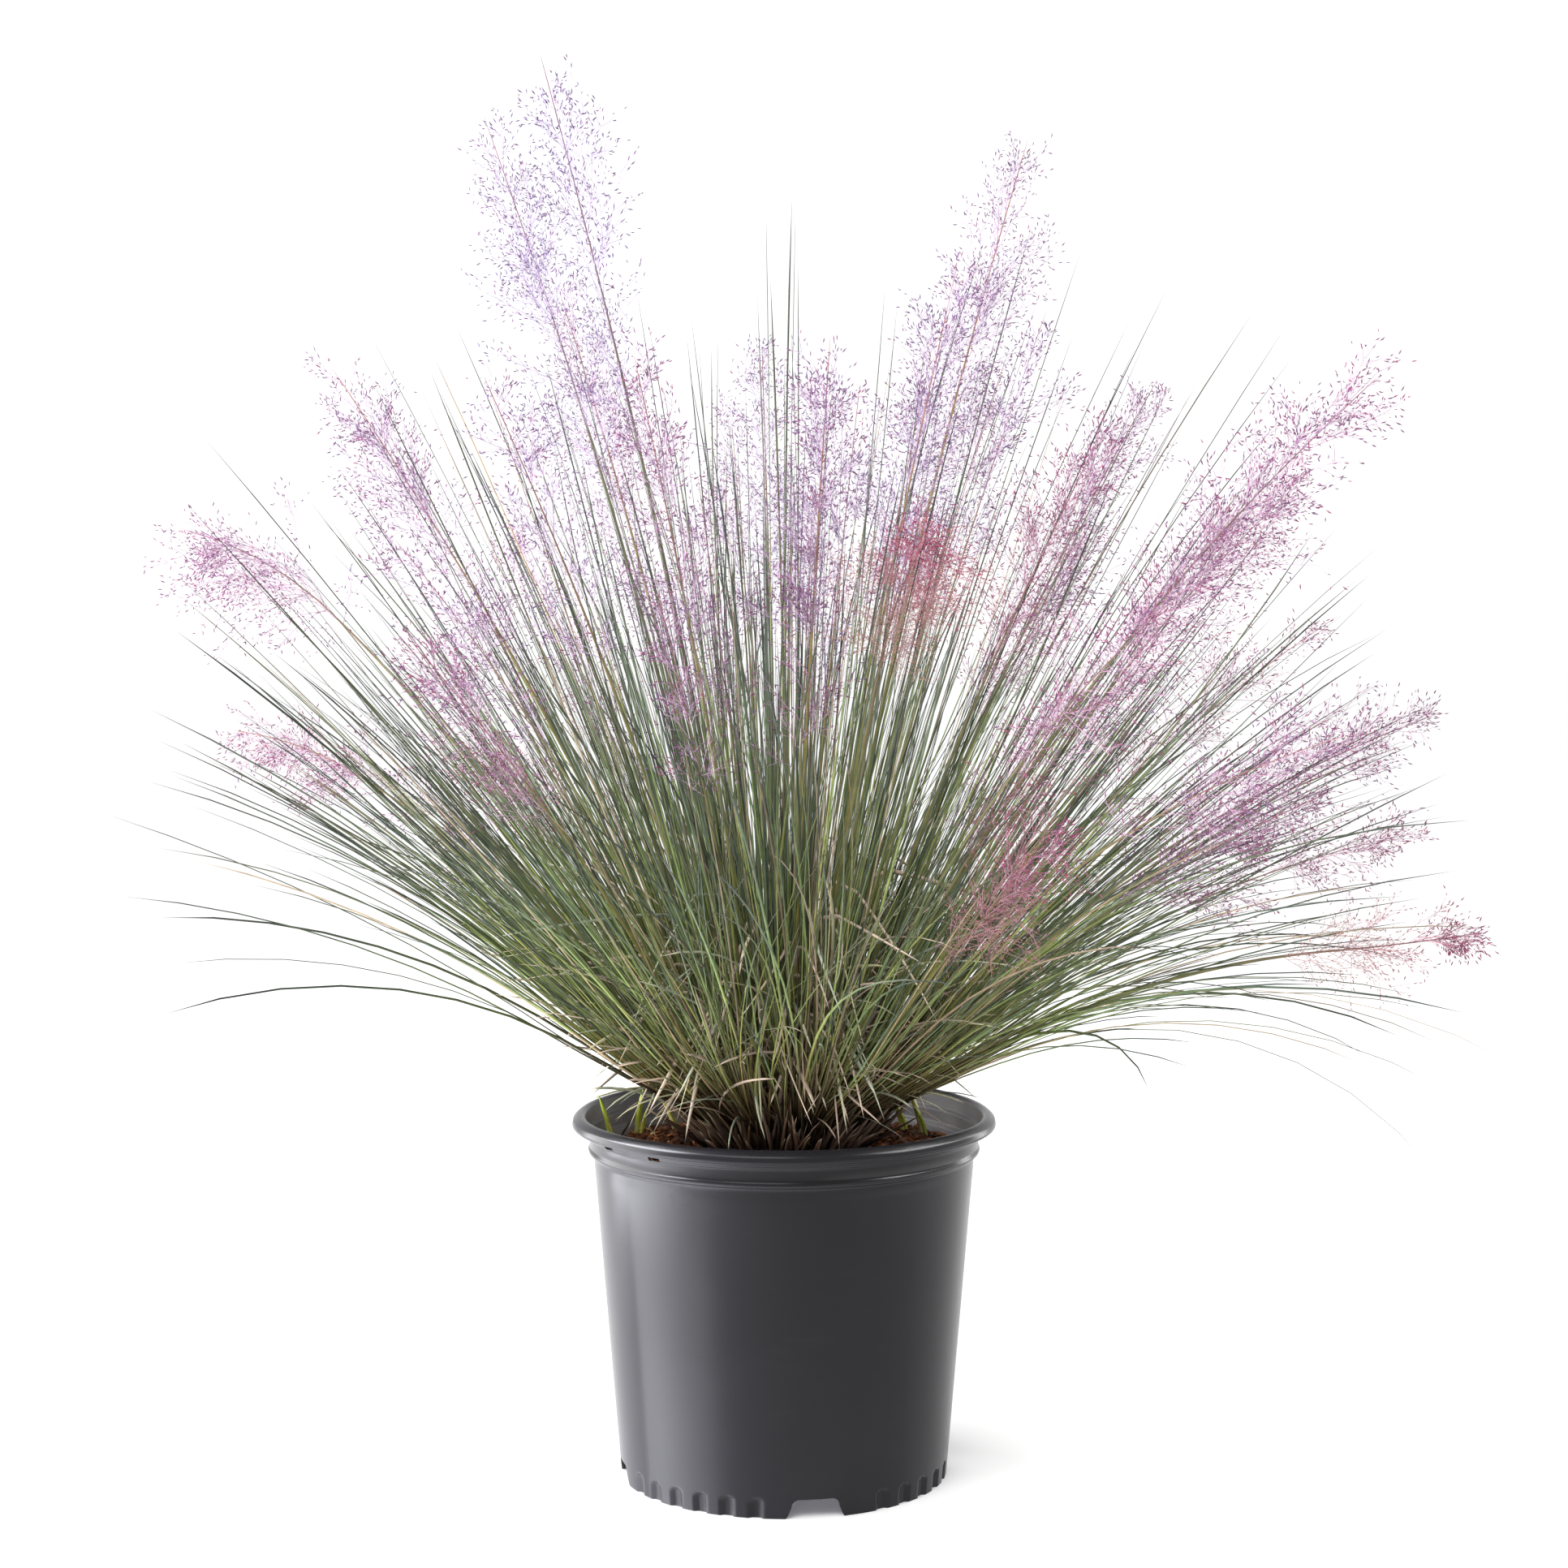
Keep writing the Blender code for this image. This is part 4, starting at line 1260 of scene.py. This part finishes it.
def arching_blades(chance):
    """Dry and half-dry leaves that arch out of the crown, most of them at the front and the back."""
    count = ARCHING_BLADES
    fraction = chance.uniform(0.40, 1.0, count)
    side = chance.uniform(0, 1, count)
    azimuth = np.where(side < 0.55, chance.uniform(-58, 58, count), chance.uniform(125, 235, count))
    azimuth = np.radians(np.where(side > 0.85, chance.uniform(0, 360, count), azimuth))
    length = chance.uniform(0.10, 0.32, count)
    rows = in_reach(
        round_the_axis(azimuth, fraction * CROWN_FOOT_RADIUS, CROWN_TOP - 0.002),
        azimuth + np.radians(chance.normal(0, 56, count)),
        np.radians(chance.uniform(2, 46, count)), np.radians(chance.uniform(35, 125, count)),
        np.radians(chance.normal(0, 30, count)), length, 12, meets_pot_or_mix,
    )
    rows = rows[unhindered(rows, length)]
    count = len(rows)
    values = {"tint": chance.uniform(0, 1, count), "shade": chance.uniform(0.6, 1.2, count)}
    values["kind"] = np.ones(count)
    width = leaf_widths(count, chance, 12, 0.0007, 0.0016)
    spin = chance.uniform(0, math.tau, count)
    return array_strands(strand_template(3, 12), rows, width, 0.5, spin, values)


def folded_blades(chance):
    """Pale old leaves that rise from the crown, fold over and hang down to the mix."""
    count = FOLDED_BLADES
    fraction = chance.uniform(0.15, 0.98, count)
    front = chance.uniform(0, 1, count) < 0.62
    azimuth = np.radians(np.where(front, chance.uniform(-50, 45, count), chance.uniform(120, 240, count)))
    lean = chance.uniform(2, 30, count)
    length = chance.uniform(0.12, 0.34, count)
    rows = in_reach(
        round_the_axis(azimuth, fraction * CROWN_FOOT_RADIUS, CROWN_TOP - 0.002),
        azimuth + np.radians(chance.normal(0, 50, count)),
        np.radians(lean), np.radians(chance.uniform(96, 160, count) - lean),
        np.radians(chance.normal(0, 30, count)), length, 14, meets_pot_or_mix,
        chance.uniform(0.48, 0.62, count),
    )
    rows = rows[unhindered(rows, length)]
    count = len(rows)
    along = np.linspace(0, 1, 15)
    shape = np.interp(along, (0, 0.1, 0.8, 1.0), (0.8, 1.0, 0.85, 0.30))
    width = chance.uniform(0.0009, 0.0021, count)[:, None] * shape[None]
    values = {"tint": chance.uniform(0, 1, count), "shade": chance.uniform(0.8, 1.3, count)}
    values["kind"] = np.ones(count)
    spin = chance.uniform(0, math.tau, count)
    return array_strands(strand_template(4, 14), rows, width, 0.4, spin, values)


# Potting mix


def make_potting_mix():
    """The body of the mix with a lumpy top, and loose bark, roots and twigs on it."""
    chance = np.random.default_rng(31)
    wall = outer_wall_radius(FLOOR_TOP) - WALL - MIX_TO_WALL
    top = BODY_TOP_RADIUS - WALL - MIX_TO_WALL
    rings = [(float(r), heaped(r)) for r in np.linspace(top, 0, 46)]
    outline = [(0.0, FLOOR_TOP + GAP), (wall, FLOOR_TOP + GAP), *rings]
    verts, faces = read_template(spun(outline, 150))
    radius = np.hypot(verts[:, 0], verts[:, 1])
    lumps = (verts[:, 2] > 0.1) & (radius > CROWN_FOOT_RADIUS - 0.004) & (radius < top - 0.001)
    verts = roughened(verts, lumps, 0.011, 0.0034, 8.0)
    verts = roughened(verts, lumps, 0.0035, 0.0013, 5.0)
    parts = [(verts, faces, {"tint": np.full(len(verts), 0.30)})]
    for shape in range(CHIP_SHAPES):
        for count, low, high, flat in CHIP_SIZES:
            radius = np.sqrt(chance.uniform(CHIPS_FROM**2, CHIPS_TO**2, count))
            azimuth = chance.uniform(0, math.tau, count)
            height = np.array([heaped(r) for r in radius])
            places = round_the_axis(azimuth, radius, height)
            size = low * (high / low) ** chance.uniform(0, 1, count) ** 1.6
            size = np.minimum(size, (CHIP_ENDS_TO - radius) * 0.9 + 0.0008)
            places[:, 2] += size * flat * 0.5
            up = scattered(np.tile(np.array([[0.0, 0.0, 1.0]]), (count, 1)), 0, 38, chance)
            side, back = rolled(*squares(up), chance.uniform(0, math.tau, count)[:, None])
            breadth, thickness = chance.uniform(0.35, 0.8, count), flat * chance.uniform(0.5, 1.0, count)
            parts.append(
                array_solids(
                    chip_template(shape), places, (side, back, up),
                    (size, size * breadth, size * thickness), {"tint": chance.beta(1.7, 1.5, count)},
                )
            )
    parts.append(roots_and_twigs(chance))
    add_piece("bark_mix", parts, [BARK], "potting_mix", "potting_mix", smooth=False)


def roots_and_twigs(chance):
    """Thin dry roots that curl out of the mix and dark twigs in it. The first of each is placed."""
    count = ROOTS_AND_TWIGS
    azimuth = np.radians(chance.uniform(0, 360, count))
    azimuth[:2] = np.radians((-62, -93))
    radius = chance.uniform(0.084, 0.116, count)
    radius[:2] = (0.086, 0.112)
    is_twig = np.arange(count) % 2 == 1
    start = round_the_axis(azimuth, radius, mix_height(radius) + HEAP + OVER_MIX)
    lean = np.where(is_twig, chance.uniform(55, 88, count), 20.0)
    lean[1] = 32
    curl = np.where(is_twig, chance.uniform(-20, 10, count), chance.uniform(60, 200, count))
    curl[0] = 300
    length = np.where(is_twig, chance.uniform(0.012, 0.026, count), chance.uniform(0.008, 0.024, count))
    length[:2] = (0.034, 0.026)
    heading = chance.uniform(0, math.tau, count)
    heading[:2] = np.radians((90, 115))
    rows = in_reach(
        start, heading, np.radians(lean), np.radians(curl), np.zeros(count), length, 16, meets_pot_or_mix
    )
    width = np.where(is_twig, 0.0008, 0.00028)[:, None] * np.linspace(1.0, 0.5, 17)[None]
    values = {"tint": np.where(is_twig, 0.06, 1.0)}
    return array_strands(strand_template(5, 16), rows, width, 1.0, np.zeros(count), values)


def sprout_rows(number, x, y, height, tip_lean):
    """Points of a sprout's two shoots, and of the shoots of its piece that lie on the mix."""
    foot = heaped(math.hypot(x, y)) - 0.001
    start = np.array([[x, y, foot], [x + 0.003, y - 0.002, foot]])
    heading = np.radians(np.array([90.0, 60.0])) * np.sign(tip_lean)
    arch = np.full(2, 2.2 * abs(tip_lean) / height)
    length = np.array([height, height * 0.62])
    rows = [walk(start, heading, np.radians([4.0, 10.0]), arch, np.zeros(2), length, SPROUT_STATIONS)]
    for sprout, x, y, length, heading, lean in LYING_SPROUTS:
        if sprout == number:
            start = np.array([[x, y, heaped(math.hypot(x, y)) + 0.0015]])
            heading, lean, arch = np.radians([[heading], [lean], [12.0]])
            rows.append(walk(start, heading, lean, arch, np.zeros(1), np.array([length]), SPROUT_STATIONS))
    return np.concatenate(rows)


def make_sprouts():
    chance = np.random.default_rng(41)
    template = strand_template(4, SPROUT_STATIONS)
    shape = np.interp(np.linspace(0, 1, SPROUT_STATIONS + 1), (0, 0.3, 0.7, 1), (0.6, 1.0, 0.75, 0.1))
    for number, sprout in enumerate(SPROUTS, 1):
        rows = sprout_rows(number, *sprout)
        count = len(rows)
        width = np.array(SPROUT_HALF_WIDTHS[:count])[:, None] * shape[None]
        spin = chance.uniform(1.1, 2.0, count)
        values = {"tint": chance.uniform(0, 1, count), "shade": chance.uniform(0.85, 1.1, count)}
        part = array_strands(template, rows, width, 0.35, spin, values)
        add_piece(f"young_sprout_{number:02d}", [part], [SPROUT], "sprouts", f"sprout_{number:02d}")


# Pot


def rounded(points, radius):
    """The outline with its corners rounded by short arcs."""
    result = [points[0]]
    for before, here, after in zip(points, points[1:], points[2:]):
        here, before, after = Vector(here), Vector(before), Vector(after)
        back, ahead = before - here, after - here
        cut = min(radius, back.length * 0.45, ahead.length * 0.45)
        start, end = here + back.normalized() * cut, here + ahead.normalized() * cut
        for step in range(3):
            t = step / 2
            result.append(tuple(start * (1 - t) ** 2 + here * 2 * t * (1 - t) + end * t**2))
    result.append(points[-1])
    return result


def inner_wall():
    """Radii and heights of the inner face, from the floor to the rim."""
    step = INNER_STEP_HEIGHT - 0.002
    return [
        (outer_wall_radius(FLOOR_TOP) - WALL, FLOOR_TOP), (outer_wall_radius(step) - WALL, step),
        (COLLAR_RADIUS - 0.0022, INNER_STEP_HEIGHT), (COLLAR_RADIUS - 0.0020, COLLAR_TOP - 0.0010),
        (COLLAR_RADIUS + 0.0003, COLLAR_TOP + 0.0004), (COLLAR_RADIUS + 0.0015, RIM_HEIGHT - 0.002),
    ]


def pot_outline():
    """Radii and heights all round the wall: from the floor's middle over the rim to its underside."""
    points = [(0.0, FLOOR_TOP), *inner_wall()]
    for radius, height, profile in (
        (RIM_RADIUS, RIM_HEIGHT, RIM_PROFILE), (COLLAR_RADIUS, COLLAR_TOP, COLLAR_PROFILE),
        (COLLAR_RADIUS, BODY_TOP_HEIGHT, COLLAR_FOOT_PROFILE),
        (BODY_TOP_RADIUS, BODY_TOP_HEIGHT, BODY_TOP_PROFILE),
    ):
        points += [(radius + out, height + up) for out, up in profile]
    points.append((outer_wall_radius(0.02), 0.02))
    foot = [(outer_wall_radius(step * 0.001), step * 0.001) for step in range(16, 0, -1)]
    inner_base = BASE_RADIUS - WALL
    edge = [(BASE_RADIUS, 0.0006), (BASE_RADIUS, 0.0), (inner_base, 0.0), (inner_base, 0.0006)]
    inner_foot = [(radius - WALL, height) for radius, height in reversed(foot[2:])]
    under = [(outer_wall_radius(FLOOR_UNDERSIDE) - WALL, FLOOR_UNDERSIDE), (0.0, FLOOR_UNDERSIDE)]
    top = rounded(points, PROFILE_ROUNDING)
    return top + foot + rounded(edge, FOOT_ROUNDING)[1:] + inner_foot + under


def flute_depth(azimuth, height):
    """How deep the moulded recesses round the foot are there: round-topped, and open at the bottom."""
    from_notch = (azimuth - NOTCH_AZIMUTH) % 360
    flutes = FLUTES_PER_QUARTER[int(from_notch // 90)]
    from_middle = from_notch % 90 - 45
    nearest = min(
        abs(from_middle - (number - (flutes - 1) / 2) * FLUTE_PITCH) for number in range(flutes)
    )
    across = math.radians(nearest) * BASE_RADIUS
    over = max(0.0, height - (FLUTE_HEIGHT - FLUTE_HALF_WIDTH))
    edge = FLUTE_HALF_WIDTH - math.hypot(across, over)
    return FLUTE_DEPTH * min(max(edge / FLUTE_EDGE, 0.0), 1.0)


def notch_cutter():
    """Four blocks with rounded shoulders for the drain notches, and two small ones for the lip slots."""
    bm = bmesh.new()
    top = NOTCH_HEIGHT - NOTCH_CORNER
    arc = [math.radians(angle) for angle in range(0, 91, 10)]
    half = [
        (NOTCH_HALF_WIDTH - NOTCH_CORNER * (2 - math.cos(a)), top + NOTCH_CORNER * math.sin(a)) for a in arc
    ]
    half = [(NOTCH_HALF_WIDTH, -0.002), (NOTCH_HALF_WIDTH - NOTCH_CORNER * 0.55, 0.002), *half]
    section = half + [(-across, height) for across, height in reversed(half)]
    for number in range(4):
        azimuth = NOTCH_AZIMUTH + number * 90
        out, side = outward(azimuth), outward(azimuth + 90)
        start = out * (BASE_RADIUS - 0.012)
        turn = [bm.verts.new(start + side * across + Vector((0, 0, height))) for across, height in section]
        block = bmesh.ops.extrude_face_region(bm, geom=[bm.faces.new(turn)])
        moved = [item for item in block["geom"] if isinstance(item, bmesh.types.BMVert)]
        bmesh.ops.translate(bm, vec=out * 0.024, verts=moved)
    for azimuth, width in LIP_SLOTS:
        size = Matrix.Diagonal((width, LIP_SLOT_DEPTH, LIP_SLOT_TALL, 1.0))
        middle = outward(azimuth) * COLLAR_RADIUS
        place = Matrix.Translation(middle + Vector((0, 0, LIP_SLOT_HEIGHT)))
        turn = Matrix.Rotation(math.radians(azimuth), 4, "Z")
        bmesh.ops.create_cube(bm, size=1.0, matrix=place @ turn @ size)
    bmesh.ops.recalc_face_normals(bm, faces=bm.faces)
    return bm


def linked(name, bm):
    mesh = bpy.data.meshes.new(name)
    bm.to_mesh(mesh)
    bm.free()
    return as_object(name, mesh)


def mark_inside(mesh):
    """Sets the attribute inside to 1 on the inner face of the wall."""
    corners = np.array([vert.co[:] for vert in mesh.vertices])
    radius, height = np.hypot(corners[:, 0], corners[:, 1]), corners[:, 2]
    inner, heights = zip(*inner_wall())
    inside = (radius < np.interp(height, heights, inner) + 0.0003) & (height > FLOOR_TOP - 0.0002)
    layer = mesh.attributes.new("inside", "FLOAT", "POINT")
    layer.data.foreach_set("value", inside.astype(np.float32))


def make_pot():
    """The moulded pot: spun, pressed in at the flutes, and cut open at the notches and slots."""
    bm = spun(pot_outline(), POT_SIDES)
    for vert in bm.verts:
        radius = math.hypot(vert.co.x, vert.co.y)
        if vert.co.z < FLUTE_HEIGHT and radius > outer_wall_radius(vert.co.z) - WALL - 0.0006:
            depth = flute_depth(math.degrees(math.atan2(vert.co.x, -vert.co.y)), vert.co.z)
            vert.co.x *= 1 - depth / radius
            vert.co.y *= 1 - depth / radius
    bmesh.ops.recalc_face_normals(bm, faces=bm.faces)
    pot = linked("satin_nursery_pot", bm)
    cutter = linked("drain_notch_cutter", notch_cutter())
    notches = pot.modifiers.new("drain notches", "BOOLEAN")
    notches.operation = "DIFFERENCE"
    notches.solver = "EXACT"
    notches.object = cutter
    bpy.context.view_layer.update()
    cut = bpy.data.meshes.new_from_object(pot.evaluated_get(bpy.context.evaluated_depsgraph_get()))
    pot.modifiers.clear()
    pot.data = cut
    bpy.data.objects.remove(cutter, do_unlink=True)
    mark_inside(cut)
    cut.shade_smooth()
    cut.set_sharp_from_angle(angle=math.radians(50))
    cut.materials.clear()
    cut.materials.append(PLASTIC)
    settle(pot, "nursery_pot", "nursery_pot")


# Stage


def make_stage():
    """A wide pale floor and a white surround."""
    bm = bmesh.new()
    bmesh.ops.create_circle(bm, cap_ends=True, segments=96, radius=FLOOR_RADIUS)
    floor = linked("pale_floor", bm)
    material, nodes, _ = new_material("pale_floor")
    shader = nodes["Principled BSDF"]
    shader.inputs["Base Color"].default_value = (*FLOOR_COLOUR, 1.0)
    shader.inputs["Roughness"].default_value = 0.9
    shader.inputs["Specular IOR Level"].default_value = 0.1
    floor.data.materials.append(material)
    world = bpy.data.worlds.new("white_studio")
    world.use_nodes = True
    background = world.node_tree.nodes["Background"]
    background.inputs["Color"].default_value = (1.0, 1.0, 1.0, 1.0)
    background.inputs["Strength"].default_value = SURROUND_STRENGTH
    bpy.context.scene.world = world


def softbox(name, azimuth, elevation, distance, width, height, power):
    """A square-on soft light that faces the middle of the plant."""
    light = bpy.data.lights.new(name, "AREA")
    light.shape = "RECTANGLE"
    light.size, light.size_y = width, height
    light.energy = power
    lamp = as_object(name, light)
    rise = math.radians(elevation)
    aim = Vector(LIGHTS_AIM)
    lamp.location = aim + outward(azimuth) * distance * math.cos(rise)
    lamp.location.z += distance * math.sin(rise)
    lamp.rotation_euler = (aim - lamp.location).to_track_quat("-Z", "Y").to_euler()
    lamp.visible_camera = False
    return lamp


def make_lights():
    for name, values in SOFTBOXES.items():
        softbox(name, *values)
    pot_only = bpy.data.collections.new("pot_only")
    pot_only.objects.link(bpy.data.objects["satin_nursery_pot"])
    for name, (azimuth, distance, width, middle, height, power, colour) in POT_CARDS.items():
        lamp = softbox(name, azimuth, 0, distance, width, height, power)
        lamp.data.color = colour
        lamp.location.z = middle
        lamp.light_linking.receiver_collection = pot_only
        lamp.light_linking.blocker_collection = pot_only


def make_camera():
    data = bpy.data.cameras.new("camera")
    data.sensor_width = SENSOR_WIDTH
    data.lens = LENS
    data.clip_start = 0.05
    data.clip_end = 60.0
    camera = as_object("camera", data)
    camera.location = CAMERA_PLACE
    camera.rotation_euler = (math.radians(90 - CAMERA_TILT), 0.0, 0.0)
    bpy.context.scene.camera = camera


make_camera()
make_stage()
make_pot()
make_lights()
make_potting_mix()
make_crown()
make_sprouts()
make_leaves()
make_flower_stalks()

bpy.context.scene.view_settings.view_transform = "Standard"
